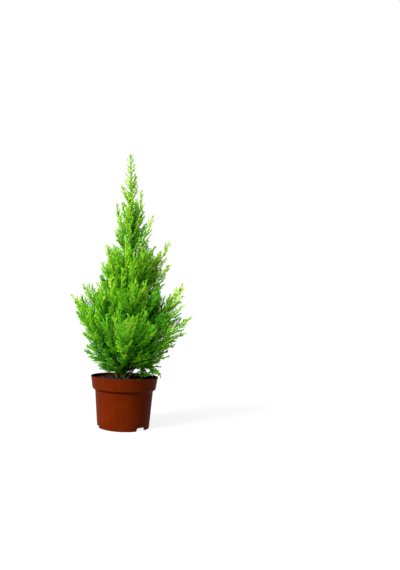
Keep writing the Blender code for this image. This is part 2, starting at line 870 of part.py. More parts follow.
def build():
    remove_all()
    wood, starts = plan_limbs()
    objects = build_pot() + build_compost() + build_wood(wood) + build_foliage(list(wood.values()), starts)
    whole = bpy.data.objects.new("potted_lemon_cypress", None)
    bpy.context.scene.collection.objects.link(whole)
    for obj in objects:
        obj.parent = whole


build()
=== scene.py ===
import json

import bmesh
import bpy
import numpy as np
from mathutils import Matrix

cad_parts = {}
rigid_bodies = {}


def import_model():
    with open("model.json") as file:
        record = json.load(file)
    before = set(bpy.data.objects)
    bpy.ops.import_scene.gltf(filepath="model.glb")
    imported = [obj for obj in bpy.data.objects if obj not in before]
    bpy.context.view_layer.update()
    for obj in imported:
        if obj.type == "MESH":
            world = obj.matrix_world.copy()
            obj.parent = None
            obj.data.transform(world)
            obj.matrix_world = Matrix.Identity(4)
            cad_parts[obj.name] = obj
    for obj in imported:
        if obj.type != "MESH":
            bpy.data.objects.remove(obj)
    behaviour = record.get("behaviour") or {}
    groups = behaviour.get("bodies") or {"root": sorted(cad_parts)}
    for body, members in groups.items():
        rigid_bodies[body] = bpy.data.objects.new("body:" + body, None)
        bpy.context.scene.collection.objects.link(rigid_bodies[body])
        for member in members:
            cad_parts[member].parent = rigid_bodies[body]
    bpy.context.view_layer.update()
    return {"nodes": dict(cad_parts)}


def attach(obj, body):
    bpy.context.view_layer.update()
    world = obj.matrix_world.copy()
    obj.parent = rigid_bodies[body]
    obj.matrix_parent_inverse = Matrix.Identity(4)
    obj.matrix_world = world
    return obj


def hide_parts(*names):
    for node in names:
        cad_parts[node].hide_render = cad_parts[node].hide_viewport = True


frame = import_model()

# A lemon cypress in a nursery pot. Metres, +Z up, the front towards -Y.
# Wood and foliage grow by one rule: a line with one bend carries shorter ones,
# which carry shorter ones again.

up = np.array([0.0, 0.0, 1.0])
goldenAngle = 137.5  # degrees from one shoot to the next round a stem


def unit(vectors):
    # each vector divided by its own length
    return vectors / np.linalg.norm(vectors, axis=-1, keepdims=True)


def outward(degrees):
    # cosine and sine of the azimuth, level
    a = np.radians(np.asarray(degrees, float))
    return np.stack([np.cos(a), np.sin(a), np.zeros_like(a)], axis=-1)


def pointsOn(curves, share):
    # start, bend and end, weighted (1-s)(1-s), 2s(1-s) and ss
    s = share[..., None]
    start, bend, end = curves[..., 0, :], curves[..., 1, :], curves[..., 2, :]
    return start * (1 - s) ** 2 + bend * 2 * s * (1 - s) + end * s * s


def headingsOn(curves, share):
    # the slope of the same line, made one long
    s = share[..., None]
    first, second = curves[..., 1, :] - curves[..., 0, :], curves[..., 2, :] - curves[..., 1, :]
    return unit(first * (1 - s) + second * s)


def lengthsOf(curves):
    # the sum of sixteen straight steps along each line
    steps = pointsOn(curves[:, None], np.linspace(0, 1, 17)[None].repeat(len(curves), 0))
    return np.linalg.norm(np.diff(steps, axis=1), axis=2).sum(1)


def acrossOf(headings):
    # level and square to a heading, or along X where the heading is nearly upright
    flat = np.cross(headings, up)
    steep = np.linalg.norm(flat, axis=-1, keepdims=True) < 0.1
    return unit(np.where(steep, np.array([1.0, 0.0, 0.0]), flat))


def awayFrom(headings, spin):
    # a direction square to the heading: across cos(spin) + (heading x across) sin(spin)
    across = acrossOf(headings)
    across = unit(across - headings * (across * headings).sum(-1, keepdims=True))
    a = np.radians(spin)[..., None]
    return across * np.cos(a) + np.cross(headings, across) * np.sin(a)


def blended(lattice, i, nextI, j, tx, ty):
    # the four corners of a cell, weighted by 3tt - 2ttt each way
    tx, ty = tx * tx * (3 - 2 * tx), ty * ty * (3 - 2 * ty)
    low = lattice[j, i] * (1 - tx) + lattice[j, nextI] * tx
    high = lattice[j + 1, i] * (1 - tx) + lattice[j + 1, nextI] * tx
    return low * (1 - ty) + high * ty


def smoothNoise(u, v, columns, rows, random):
    # random numbers on a lattice that joins up in u, blended between corners. u and v run 0 to 1
    lattice = random.uniform(-1, 1, (rows + 2, columns))
    x, y = u * columns, v * rows
    i, j = np.floor(x).astype(int), np.clip(np.floor(y).astype(int), 0, rows)
    return blended(lattice, i % columns, (i + 1) % columns, j, x - i, y - j)


def makeMesh(name, points, faces):
    # points is (n, 3). faces is a list of arrays, each (count, corners)
    mesh = bpy.data.meshes.new(name)
    corners = np.concatenate([f.ravel() for f in faces])
    sizes = np.concatenate([np.full(len(f), f.shape[1]) for f in faces])
    mesh.vertices.add(len(points))
    mesh.vertices.foreach_set("co", np.asarray(points, np.float32).ravel())
    mesh.loops.add(len(corners))
    mesh.loops.foreach_set("vertex_index", corners.astype(np.int32))
    mesh.polygons.add(len(sizes))
    mesh.polygons.foreach_set("loop_start", np.concatenate([[0], np.cumsum(sizes)[:-1]]).astype(np.int32))
    mesh.update(calc_edges=True)
    mesh.validate()
    return mesh


def trianglesIn(mesh):
    # corners less two for each face
    return len(mesh.loops) - 2 * len(mesh.polygons)


def addObject(name, data):
    # at the origin, in the scene's own collection
    made = bpy.data.objects.new(name, data)
    bpy.context.scene.collection.objects.link(made)
    return made


def makePiece(name, mesh, finish, nodes=(), smooth=True):
    # one finish all over. It rides the plant's one body and stands in for the nodes that it is given
    mesh.materials.clear()
    mesh.materials.append(finish.material)
    mesh.polygons.foreach_set("use_smooth", np.full(len(mesh.polygons), smooth))
    piece = addObject(name, mesh)
    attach(piece, "root")
    if nodes:
        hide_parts(*nodes)


def weld(mesh, distance=1e-6):
    # closes seams and poles, and turns every face outwards
    shape = bmesh.new()
    shape.from_mesh(mesh)
    bmesh.ops.remove_doubles(shape, verts=shape.verts, dist=distance)
    bmesh.ops.dissolve_degenerate(shape, dist=distance, edges=shape.edges)
    bmesh.ops.recalc_face_normals(shape, faces=shape.faces)
    shape.to_mesh(mesh)
    shape.free()


def ringWalls(spots, upwards):
    # four-sided faces between neighbouring rings of points (rings, points, 3), closed round each ring.
    # They face outwards where the rings climb (upwards) and upwards where they widen
    index = np.arange(spots.shape[0] * spots.shape[1]).reshape(spots.shape[:2])
    near, far = index[:-1], index[1:]
    nearNext, farNext = np.roll(near, -1, 1), np.roll(far, -1, 1)
    corners = (near, nearNext, farNext, far) if upwards else (near, far, farNext, nearNext)
    return np.stack(corners, axis=-1).reshape(-1, 4)


def tubes(lines, radii, sides):
    # rings square to each line: point + (across cos + over sin) radius, and a cap at either end
    count, steps = lines.shape[:2]
    headings = unit(np.gradient(lines, axis=1))
    across = acrossOf(headings[:, :1])
    across = unit(across - headings * (across * headings).sum(-1, keepdims=True))
    over = np.cross(headings, across)
    turn = 2 * np.pi * np.arange(sides) / sides
    rings = across[:, :, None] * np.cos(turn)[:, None]
    rings = rings + over[:, :, None] * np.sin(turn)[:, None]
    radii = radii if radii.ndim == 3 else radii[:, :, None]
    points = lines[:, :, None] + rings * radii[..., None]
    index = np.arange(count * steps * sides).reshape(count, steps, sides)
    near, far = index[:, :-1], index[:, 1:]
    walls = np.stack([near, np.roll(near, -1, 2), np.roll(far, -1, 2), far], axis=-1).reshape(-1, 4)
    return points.reshape(-1, 3), [walls, index[:, 0, ::-1], index[:, -1]]


class Wire:
    # an output socket. Adding or multiplying it makes a Math node
    def __init__(self, finish, socket):
        self.finish, self.socket = finish, socket

    def math(self, operation, first, second):
        # either side can be a wire or a number
        return self.finish.node("ShaderNodeMath", {"operation": operation}, {0: first, 1: second})

    def __add__(self, other):
        return self.math("ADD", self, other)

    def __radd__(self, other):
        return self.math("ADD", other, self)

    def __mul__(self, other):
        return self.math("MULTIPLY", self, other)

    def __rmul__(self, other):
        return self.math("MULTIPLY", other, self)


class Finish:
    # one material with its Principled shader
    def __init__(self, name, **constants):
        self.material = bpy.data.materials.new(name)
        self.material.use_nodes = True
        self.tree = self.material.node_tree
        self.shader = self.tree.nodes["Principled BSDF"]
        for socket, value in constants.items():
            self.set(socket.replace("_", " "), value)

    def set(self, socket, value):
        # one socket of the shader, by its name
        self.feed(self.shader.inputs[socket], value)

    def feed(self, socket, value):
        # a link from a wire, or else a plain value, with an alpha of one added to a colour
        if isinstance(value, Wire):
            self.tree.links.new(value.socket, socket)
        elif socket.type == "RGBA":
            socket.default_value = (*value, 1)
        else:
            socket.default_value = value

    def node(self, kind, settings=None, inputs=None, output=0):
        # a new node of this kind, its settings first and then its sockets
        made = self.tree.nodes.new(kind)
        for name, value in (settings or {}).items():
            setattr(made, name, value)
        for name, value in (inputs or {}).items():
            self.feed(made.inputs[name], value)
        return Wire(self, made.outputs[output])

    def place(self, scale=(1, 1, 1)):
        # the point on the piece, stretched along each axis
        point = self.node("ShaderNodeTexCoord", output="Object")
        return self.node("ShaderNodeMapping", inputs={"Vector": point, "Scale": scale})

    def noise(self, scale, detail, roughness=0.55, stretch=(1, 1, 1)):
        # cloudy noise of this many cells a metre
        inputs = {"Vector": self.place(stretch), "Scale": scale, "Detail": detail, "Roughness": roughness}
        return self.node("ShaderNodeTexNoise", inputs=inputs)

    def range(self, value, low, high, toLow=0, toHigh=1):
        # a straight rise from one range to another, held at both ends
        inputs = {"Value": value, "From Min": low, "From Max": high, "To Min": toLow, "To Max": toHigh}
        return self.node("ShaderNodeMapRange", inputs=inputs)

    def blend(self, share, first, second):
        # first (1 - share) + second share. Sockets 6 and 7 take the colours and output 2 gives the result
        settings = {"data_type": "RGBA", "blend_type": "MIX"}
        return self.node("ShaderNodeMix", settings, {0: share, 6: first, 7: second}, output=2)

    def heightOf(self):
        # the point's own Z
        return self.node("ShaderNodeSeparateXYZ", inputs={0: self.place()}, output=2)

    def bump(self, height, distance):
        # the surface is shaded as if a height of one raised it by distance
        inputs = {"Height": height, "Distance": distance, "Strength": 1}
        self.set("Normal", self.node("ShaderNodeBump", inputs=inputs))


trunk = {
    "foot": 0.0855,
    "tip": 0.360,
    "leaderTip": 0.4865,  # the leader carries the trunk's line on to here
    "footX": -0.0015,
    "tipX": -0.0006,
    "bow": 0.0062,
    "footRadius": 0.0024,
    "tipRadius": 0.0011,
    "flare": 0.0016,
    "flareHeight": 0.005,
}


def axisAt(height):
    # a straight line from foot to tip, bowed to +X by a half wave of sine
    share = np.clip((height - trunk["foot"]) / (trunk["leaderTip"] - trunk["foot"]), 0, 1)
    x = trunk["footX"] + (trunk["tipX"] - trunk["footX"]) * share + trunk["bow"] * np.sin(np.pi * share)
    return np.stack([x, np.zeros_like(x), height], axis=-1)


def trunkRadius(height):
    # a straight taper, with a flare that dies away as exp(-rise / height)
    rise = np.maximum(height - trunk["foot"], 0)
    share = np.clip(rise / (trunk["tip"] - trunk["foot"]), 0, 1)
    taper = trunk["footRadius"] + (trunk["tipRadius"] - trunk["footRadius"]) * share
    return taper + trunk["flare"] * np.exp(-rise / trunk["flareHeight"])


# A tier is a ring of masses between two bowls, its floor and its roof (height at the trunk, rise per
# metre outwards). Each plume is its azimuth, the reach of its tip and its height. It leaves the trunk
# at foot, and its bend lies below the straight line by sag times its length
tiers = {
    "skirt": {
        "foot": 0.096,
        "sag": -0.10,
        "floor": (0.092, 0),
        "roof": (0.106, 0.5),
        "plumes": (
            (-20, 0.078, 0.128), (52, 0.072, 0.130), (124, 0.070, 0.128), (196, 0.074, 0.134),
            (268, 0.066, 0.130),
        ),
    },
    "lower": {
        "foot": 0.110,
        "sag": 0.08,
        "floor": (0.106, 0.5),
        "roof": (0.135, 0.92),
        "plumes": (
            (-29, 0.1227, 0.195), (31, 0.100, 0.206), (91, 0.108, 0.212), (151, 0.1227, 0.236),
            (211, 0.098, 0.200), (271, 0.108, 0.188),
        ),
    },
    "middle": {
        "foot": 0.148,
        "sag": 0.10,
        "floor": (0.135, 0.92),
        "roof": (0.180, 1.35),
        "plumes": (
            (-12, 0.099, 0.254), (60, 0.082, 0.262), (132, 0.085, 0.262), (204, 0.084, 0.249),
            (276, 0.078, 0.248),
        ),
    },
    "upper": {
        "foot": 0.198,
        "sag": 0.08,
        "floor": (0.180, 1.35),
        "roof": (0.250, 1.9),
        "plumes": (
            (10, 0.0758, 0.334), (82, 0.052, 0.318), (154, 0.056, 0.2955), (226, 0.054, 0.315),
            (298, 0.050, 0.312),
        ),
    },
    "top": {
        "foot": 0.270,
        "sag": 0.05,
        "floor": (0.250, 1.9),
        "roof": (0.345, 3.6),
        "plumes": ((-5, 0.042, 0.376), (85, 0.022, 0.410), (175, 0.0237, 0.397), (265, 0.020, 0.404)),
    },
}
tierNames = list(tiers)
# the foot and the bend of the two plumes that rise from the compost on stems of their own
sideStems = {
    ("lower", 3): ((-0.0140, 0.0030, 0.0855), (-0.019, 0.006, 0.150)),
    ("lower", 0): ((0.0055, -0.0075, 0.0855), (0.024, -0.015, 0.126)),
}
allRound = (0, 180)  # the middle and half width, in degrees, of a slice that leaves nothing out
openFloor = (-1, 0)  # bowls so far off that they bind nothing
openRoof = (1, 0)
room = {
    "stagger": 0.0035,  # between the heights at which neighbours in a tier leave the trunk
    "underside": (-0.034, 2),  # of all masses: height at the axis and rise per metre outwards
    "slack": 0.008,  # how far shoots may pass the walls between masses
    "pastTip": 0.0025,  # and the reach and height of their plume's tip
    "spread": 0.03,  # and how much further they may reach for each metre below the tip
    "spireTop": 0.005,  # the leader's radius at its tip
    "spireTaper": 0.22,  # and how much it widens for each metre below
    "needlePast": 0.0012,  # what needles add above its last shoot
    "crown": (  # the crown's radius at each height
        (0.090, 0.12, 0.15, 0.18, 0.21, 0.235, 0.26, 0.29, 0.32, 0.35, 0.40, 0.45, 0.4865),
        (0.046, 0.056, 0.072, 0.080, 0.082, 0.063, 0.057, 0.046, 0.036, 0.027, 0.019, 0.008, 0.004),
    ),
    # radii and heights that shoots stay above, from the compost over the rim and down outside it
    "potTop": ((0, 0.047, 0.054, 0.0615, 0.0625), (0.0875, 0.0875, 0.0925, 0.0925, 0.0800)),
    "opening": (0.0160, 0.1025),  # X and Z of the middle of an opening beside the stems
    "openingHalf": (0.0080, 0.0080),  # and half its width and height
}


def plumeLine(tierName, index):
    # from the trunk's middle to the plume's tip, with its bend below the halfway point by sag times
    # its length
    tier = tiers[tierName]
    azimuth, reach, height = tier["plumes"][index]
    tip = outward(azimuth) * reach + up * height
    if (tierName, index) in sideStems:
        return np.array([*sideStems[tierName, index], tip])
    foot = axisAt(np.array(tier["foot"] + index % 3 * room["stagger"]))
    return np.array([foot, (foot + tip) / 2 - up * tier["sag"] * np.linalg.norm(tip - foot), tip])


# Shoots that stand clear of the masses, by the tier whose colours they take. Each is its azimuth, the
# height of its foot, the reach and height of its tip, and its sag
sprigs = {
    "skirt": (
        (178, 0.104, 0.069, 0.142, 0.05), (-10, 0.106, 0.077, 0.147, 0.02),
        (168, 0.098, 0.067, 0.121, 0.0), (-6, 0.102, 0.074, 0.136, 0.0),
        (8, 0.097, 0.062, 0.117, 0.0), (88, 0.100, 0.062, 0.130, 0.10),
        (232, 0.098, 0.058, 0.136, 0.12), (300, 0.098, 0.056, 0.142, 0.14),
        (262, 0.092, 0.040, 0.160, 0.22), (276, 0.090, 0.030, 0.148, 0.22),
        (-8, 0.0905, 0.057, 0.0990, -0.03), (-48, 0.098, 0.060, 0.138, 0.12),
    ),
    "lower": (
        (176, 0.126, 0.081, 0.188, 0.05), (188, 0.118, 0.077, 0.165, 0.04),
        (-8, 0.120, 0.104, 0.170, 0.02), (6, 0.112, 0.088, 0.147, 0.02),
        (-8, 0.128, 0.1120, 0.196, 0.04), (168, 0.130, 0.094, 0.212, 0.08),
        (60, 0.120, 0.084, 0.190, 0.12), (118, 0.120, 0.086, 0.192, 0.12),
        (242, 0.112, 0.070, 0.196, 0.24), (300, 0.112, 0.066, 0.204, 0.24),
        (256, 0.106, 0.056, 0.214, 0.26), (288, 0.104, 0.060, 0.182, 0.24),
        (-14, 0.135, 0.099, 0.216, 0.10), (-4, 0.116, 0.086, 0.158, 0.02),
        (172, 0.128, 0.096, 0.226, 0.08), (-56, 0.114, 0.080, 0.180, 0.18),
        (-42, 0.108, 0.070, 0.160, 0.16), (148, 0.116, 0.080, 0.178, 0.14),
    ),
    "middle": (
        (-4, 0.170, 0.054, 0.255, 0.10), (-22, 0.158, 0.060, 0.246, 0.10),
        (12, 0.152, 0.098, 0.228, 0.06), (-12, 0.150, 0.0985, 0.247, 0.12),
        (172, 0.152, 0.093, 0.226, 0.06), (190, 0.190, 0.051, 0.268, 0.08),
        (176, 0.165, 0.072, 0.252, 0.06), (178, 0.142, 0.083, 0.231, 0.10),
        (96, 0.160, 0.070, 0.250, 0.14), (240, 0.150, 0.056, 0.262, 0.22),
        (306, 0.150, 0.054, 0.256, 0.22), (258, 0.150, 0.044, 0.276, 0.24),
        (290, 0.140, 0.052, 0.238, 0.24), (226, 0.145, 0.066, 0.232, 0.18),
        (-44, 0.145, 0.066, 0.236, 0.18), (-62, 0.138, 0.060, 0.222, 0.20),
        (28, 0.150, 0.058, 0.244, 0.16),
    ),
    "upper": (
        (172, 0.255, 0.039, 0.323, 0.06), (2, 0.258, 0.047, 0.321, 0.06),
        (-6, 0.205, 0.073, 0.288, 0.09), (184, 0.225, 0.045, 0.288, 0.06),
        (48, 0.235, 0.048, 0.306, 0.12), (118, 0.235, 0.046, 0.306, 0.12),
        (262, 0.220, 0.034, 0.334, 0.20), (284, 0.205, 0.042, 0.300, 0.22),
        (240, 0.215, 0.042, 0.312, 0.18), (20, 0.235, 0.060, 0.312, 0.08),
        (6, 0.210, 0.055, 0.302, 0.08), (-10, 0.205, 0.060, 0.280, 0.06),
        (-44, 0.215, 0.044, 0.308, 0.18), (150, 0.220, 0.038, 0.300, 0.14),
        (4, 0.212, 0.054, 0.306, 0.08), (-14, 0.222, 0.046, 0.302, 0.08),
    ),
    "top": (
        (0, 0.352, 0.0205, 0.4205, 0.16), (180, 0.396, 0.0160, 0.429, 0.02),
        (0, 0.416, 0.0095, 0.446, 0.03), (180, 0.330, 0.0205, 0.374, 0.04),
        (262, 0.345, 0.0160, 0.392, 0.12), (90, 0.372, 0.0140, 0.422, 0.08),
        (4, 0.312, 0.0300, 0.362, 0.06), (-8, 0.330, 0.0240, 0.384, 0.10),
        (184, 0.300, 0.0255, 0.350, 0.06), (-4, 0.300, 0.0150, 0.352, 0.06),
        (14, 0.306, 0.0130, 0.362, 0.06), (24, 0.340, 0.0130, 0.404, 0.08),
        (-32, 0.345, 0.0150, 0.396, 0.08), (200, 0.345, 0.0150, 0.398, 0.06),
    ),
}
# Low shoots spread over the rim, and a few at the right hang down to it past an opening at the foot
hem = {
    "seed": 5,
    "azimuths": (106, 134, 160, 182, 204, 226, 248),
    "feet": (0.0915, 0.0970),  # lowest and highest
    "reach": (0.034, 0.046),
    "tips": (0.1010, 0.1100),
    "arch": 0.05,  # how far the bend lies above the straight line, as a share of the length
    "room": (0.062, 0.125),  # reach and height that their shoots keep to
    "hangingRoom": (0.068, 0.125),
    "hanging": (  # foot, bend and tip
        ((0.0040, -0.0040, 0.1100), (0.0440, -0.0150, 0.1260), (0.0620, -0.0170, 0.0950)),
        ((0.0060, 0.0020, 0.1060), (0.0320, 0.0100, 0.1220), (0.0500, 0.0160, 0.0980)),
        ((0.0220, -0.0080, 0.1089), (0.0370, -0.0100, 0.1150), (0.0490, -0.0110, 0.1010)),
        ((0.0180, -0.0064, 0.1070), (0.0300, -0.0070, 0.1130), (0.0390, -0.0070, 0.0985)),
        ((0.0150, 0.0060, 0.1080), (0.0270, 0.0110, 0.1120), (0.0350, 0.0150, 0.0970)),
        ((0.0200, -0.0020, 0.1080), (0.0280, -0.0030, 0.1110), (0.0330, -0.0030, 0.0975)),
    ),
}
# A ring of young shoots stands in the compost round the stems
basal = {
    "shoots": 12,
    "middle": (-0.0050, -0.0030),
    "radius": (0.003, 0.012),
    "azimuthJitter": 20,
    "sunk": 0.002,
    "length": (0.026, 0.046),
    "lean": (4, 30),
    "upturn": 0.3,
}

massNames, massLines, massSpaces = [], [], []
for tierName, tier in tiers.items():
    azimuths = [plume[0] for plume in tier["plumes"]]
    for index, (azimuth, reach, height) in enumerate(tier["plumes"]):
        before = (azimuth - azimuths[index - 1]) % 360 / 2
        after = (azimuths[(index + 1) % len(azimuths)] - azimuth) % 360 / 2
        middle, half = azimuth + (after - before) / 2, (before + after) / 2
        massNames.append(f"{tierName}_foliage_{index + 1}")
        massLines.append(plumeLine(tierName, index))
        massSpaces.append((middle, half, reach, height, *tier["floor"], *tier["roof"]))
massNames.append("leader_foliage")
leaderHeights = np.array([trunk["tip"], (trunk["tip"] + trunk["leaderTip"]) / 2, trunk["leaderTip"]])
massLines.append(axisAt(leaderHeights))
massSpaces.append((*allRound, 0, trunk["leaderTip"], *tiers["top"]["roof"], *openRoof))
leader = len(massNames) - 1
# the leader counts as one tier more
massTier = [tierNames.index(name.split("_")[0]) for name in massNames[:-1]] + [len(tierNames)]


def downAndOut(azimuth, distance):
    # one half of a bend's distance downwards and the whole of it outwards
    return outward(azimuth) * distance - up * distance / 2


# each sprig grows in a space of its own, all round the trunk and up to its own tip
sprigLines, sprigSpaces, sprigTier = [], [], []


def addSprig(line, reach, height, tier=0):
    # foot, bend and tip, with a space that is bound by its reach and height alone
    sprigLines.append(line)
    sprigSpaces.append((*allRound, reach, height, *openFloor, *openRoof))
    sprigTier.append(tier)


for tierName, rows in sprigs.items():
    for azimuth, footHeight, reach, height, sag in rows:
        foot, tip = axisAt(np.array(footHeight)), outward(azimuth) * reach + up * height
        bend = (foot + tip) / 2 + downAndOut(azimuth, sag * np.linalg.norm(tip - foot))
        addSprig((foot, bend, tip), reach, height, tierNames.index(tierName))
hemRandom = np.random.default_rng(hem["seed"])
for azimuth in hem["azimuths"]:
    foot = axisAt(hemRandom.uniform(*hem["feet"], ()))
    tip = outward(azimuth) * hemRandom.uniform(*hem["reach"]) + up * hemRandom.uniform(*hem["tips"])
    bend = (foot + tip) / 2 + up * hem["arch"] * np.linalg.norm(tip - foot)
    addSprig((foot, bend, tip), *hem["room"])
for line in hem["hanging"]:
    addSprig(line, *hem["hangingRoom"])
crownSpace = len(massLines) + len(sprigLines)
massLines = np.array([*massLines, *sprigLines])
massSpaces = np.array([*massSpaces, *sprigSpaces, (*allRound, 0, 1, *openFloor, *openRoof)])
massTier = np.array([*massTier, *sprigTier])
print(f"{len(massNames)} masses and {len(sprigLines)} sprigs laid out")


def holds(points, mass):
    # inside its slice, over its floor bowl, under its roof bowl, above the slanting underside and within
    # its reach, which grows by spread for each metre below the tip. The leader's space is a spike round
    # the trunk's line, of radius spireTop + spireTaper times the drop. The crown's space is its radius at
    # each height. All but the leader stay above the compost and the pot's rim, and all out of an opening
    # that runs through from front to back
    middle, half, reach, top, floorZ, floorRise, roofZ, roofRise = massSpaces[mass].T
    out = points - axisAt(points[:, 2])
    radius = np.hypot(out[:, 0], out[:, 1])
    z = points[:, 2]
    turn = np.abs((np.degrees(np.arctan2(out[:, 1], out[:, 0])) - middle + 180) % 360 - 180) - half
    beyondWall = np.where(turn > 0, radius * np.sin(np.radians(np.clip(turn, 0, 90))), 0)
    overFloor = (z - floorZ - floorRise * radius) / np.hypot(1, floorRise)
    overRoof = (z - roofZ - roofRise * radius) / np.hypot(1, roofRise)
    fromMiddle = np.hypot(points[:, 0], points[:, 1])
    underside = room["underside"][0] + room["underside"][1] * radius
    overUnder = z - np.where(mass > leader, 0, underside)
    overPot = z - np.interp(fromMiddle, *room["potTop"])
    inSlice = (beyondWall < room["slack"]) & (overRoof < room["slack"])
    inSlice &= (overUnder > 0) & (overPot > 0) & (z < top + room["pastTip"])
    inSlice &= radius < reach + room["pastTip"] + room["spread"] * (top - z)
    inSpike = radius < room["spireTop"] + room["spireTaper"] * (trunk["leaderTip"] - z)
    inSpike &= z < top - room["needlePast"]
    inCrown = (radius < np.interp(z, *room["crown"])) & (overPot > 0)
    held = np.where(mass == leader, inSpike, np.where(mass == crownSpace, inCrown, inSlice))
    fromOpening = np.hypot(*((points[:, (0, 2)] - room["opening"]) / room["openingHalf"]).T)
    return (overFloor > -room["slack"]) & held & (fromOpening > 1)


# one side shoot every pitch, past the bare part of its bearer, or perLevel of them. Its length is least +
# share of what is left of the bearer, up to most. It leaves at angle, and then bends towards its bearer's
# heading (sweep) and upwards (lift). Each stands round its bearer by turn from the last, the first within
# start degrees, or all within fan degrees of the upper side. It has this many tries at finding room
growth = {
    "boughlets": dict(
        order=1, pitch=0.0100, bare=0.16, angle=38, least=0.032, share=0.46, most=0.092, sweep=0.20,
        lift=1.00, tries=5, fan=80, inCrown=True,
    ),
    "fronds": dict(
        order=2, pitch=0.0068, bare=0.10, turn=goldenAngle, angle=31, least=0.0050, share=0.44,
        most=0.034, sweep=0.35, lift=0.60, tries=4,
    ),
    "boughletFronds": dict(
        order=2, pitch=0.0050, bare=0.14, turn=177, start=30, angle=29, least=0.0055, share=0.42,
        most=0.030, sweep=0.45, lift=0.10, tries=3,
    ),
    "topFronds": dict(
        order=2, pitch=0.0041, bare=0.06, turn=goldenAngle, angle=28, least=0.0050, share=0.38,
        most=0.030, sweep=0.35, lift=0.15, tries=4,
    ),
    "sprigFronds": dict(
        order=2, pitch=0.0056, bare=0.28, turn=165, angle=30, least=0.0055, share=0.44, most=0.030,
        sweep=0.4, lift=0.16, tries=3,
    ),
    "leaderShoots": dict(
        order=2, pitch=0.0048, perLevel=2, bare=0.0, turn=90, angle=36, least=0.0058, share=0.23,
        most=0.024, sweep=0.12, lift=0.05, tries=3, start=0,
    ),
    "stemShoots": dict(
        order=3, pitch=0.0060, bare=0.10, turn=goldenAngle, angle=40, least=0.0045, share=0.12,
        most=0.016, sweep=0.3, lift=0.20, tries=2,
    ),
    "sideShoots": dict(
        order=3, pitch=0.0035, bare=0.06, turn=178, start=50, angle=33, least=0.0046, share=0.27,
        most=0.0120, sweep=0.3, lift=0.06, tries=2,
    ),
    "spurs": dict(
        order=3, pitch=0.0030, bare=0.20, turn=174, angle=30, least=0.0028, share=0.16, most=0.0070,
        sweep=0.2, lift=0.04, tries=1,
    ),
    "endShoots": dict(
        order=4, pitch=0.0070, bare=0.12, turn=178, start=50, angle=27, least=0.0028, share=0.16,
        most=0.0046, sweep=0.3, lift=0.04, tries=1,
    ),
}
habit = {
    "seed": 23,
    "trySizes": (1, 0.82, 0.64),
    "tryTurn": 55,
    "probes": (0.6, 1.0),  # where along a shoot its room is looked for
    "upperSide": 270,
    "placeJitter": (0.25, 0.75),  # of a pitch
    "levelPlace": 0.35,  # where several leave at one level
    "lengthJitter": (0.82, 1.12),
    "spinJitter": 18,
    "angleJitter": 7,
    "moods": (0.20, 0.40, 0.44, 0.15, 0.10),  # how far chance lightens or darkens a shoot, by order
}


def carry(bearers, rule, random):
    # heading = along cos(angle) + away sin(angle). The line bends halfway, to heading + along sweep +
    # up lift. A shoot with no room is made shorter, then turned round its bearer, and dropped where
    # neither helps. Its mood, how light a green it bears, is its bearer's plus a chance part
    perLevel = rule.get("perLevel", 1)
    levels = np.floor(bearers["length"] * (1 - rule["bare"]) / rule["pitch"]).astype(int)
    count = levels * perLevel
    bearer = np.repeat(np.arange(len(count)), count)
    step = np.arange(len(bearer)) - np.repeat(np.cumsum(count) - count, count)
    level = step // perLevel
    jitter = random.uniform(*habit["placeJitter"], len(step)) if perLevel == 1 else habit["levelPlace"]
    place = rule["bare"] + (1 - rule["bare"]) * (level + jitter) / levels[bearer]
    lines, mass = bearers["line"][bearer], bearers["mass"][bearer]
    if rule.get("inCrown"):
        mass = np.full(len(mass), crownSpace)
    root, along = pointsOn(lines, place), headingsOn(lines, place)
    left = (1 - place) * bearers["length"][bearer]
    reach = np.minimum(rule["least"] + rule["share"] * left, rule["most"])
    reach = reach * random.uniform(*habit["lengthJitter"], len(step))
    if "fan" in rule:
        spin = habit["upperSide"] + random.uniform(-rule["fan"], rule["fan"], len(step))
    else:
        firstSpin = random.uniform(0, rule.get("start", 360), len(count))[bearer]
        spin = firstSpin + level * rule["turn"] + step % perLevel * 180
        spin = spin + random.uniform(-habit["spinJitter"], habit["spinJitter"], len(step))
    angleJitter = random.uniform(-habit["angleJitter"], habit["angleJitter"], len(step))
    angle = np.radians(rule["angle"] + angleJitter)[:, None]
    grown, placed = np.zeros((len(step), 3, 3)), np.zeros(len(step), bool)
    for attempt in range(rule["tries"]):
        away = awayFrom(along, spin + attempt * habit["tryTurn"])
        heading = along * np.cos(angle) + away * np.sin(angle)
        ending = unit(heading + along * rule["sweep"] + up * rule["lift"])
        for size in habit["trySizes"]:
            half = (reach * size / 2)[:, None]
            line = np.stack([root, root + heading * half, root + (heading + ending) * half], axis=1)
            fits = ~placed
            for probe in habit["probes"]:
                fits &= holds(pointsOn(line, np.full(len(line), probe)), mass)
            grown[fits], placed = line[fits], placed | fits
    mood = bearers["mood"][bearer] + random.normal(0, habit["moods"][rule["order"]], len(step))
    return {
        "line": grown[placed],
        "length": lengthsOf(grown[placed]),
        "mass": mass[placed],
        "tier": bearers["tier"][bearer][placed],
        "mood": mood[placed],
        "order": np.full(placed.sum(), rule["order"]),
    }


def only(shoots, mask):
    # the shoots that the mask picks
    return {key: value[mask] for key, value in shoots.items()}


def together(*sets):
    # several sets of shoots, one after another
    return {key: np.concatenate([s[key] for s in sets]) for key in sets[0]}


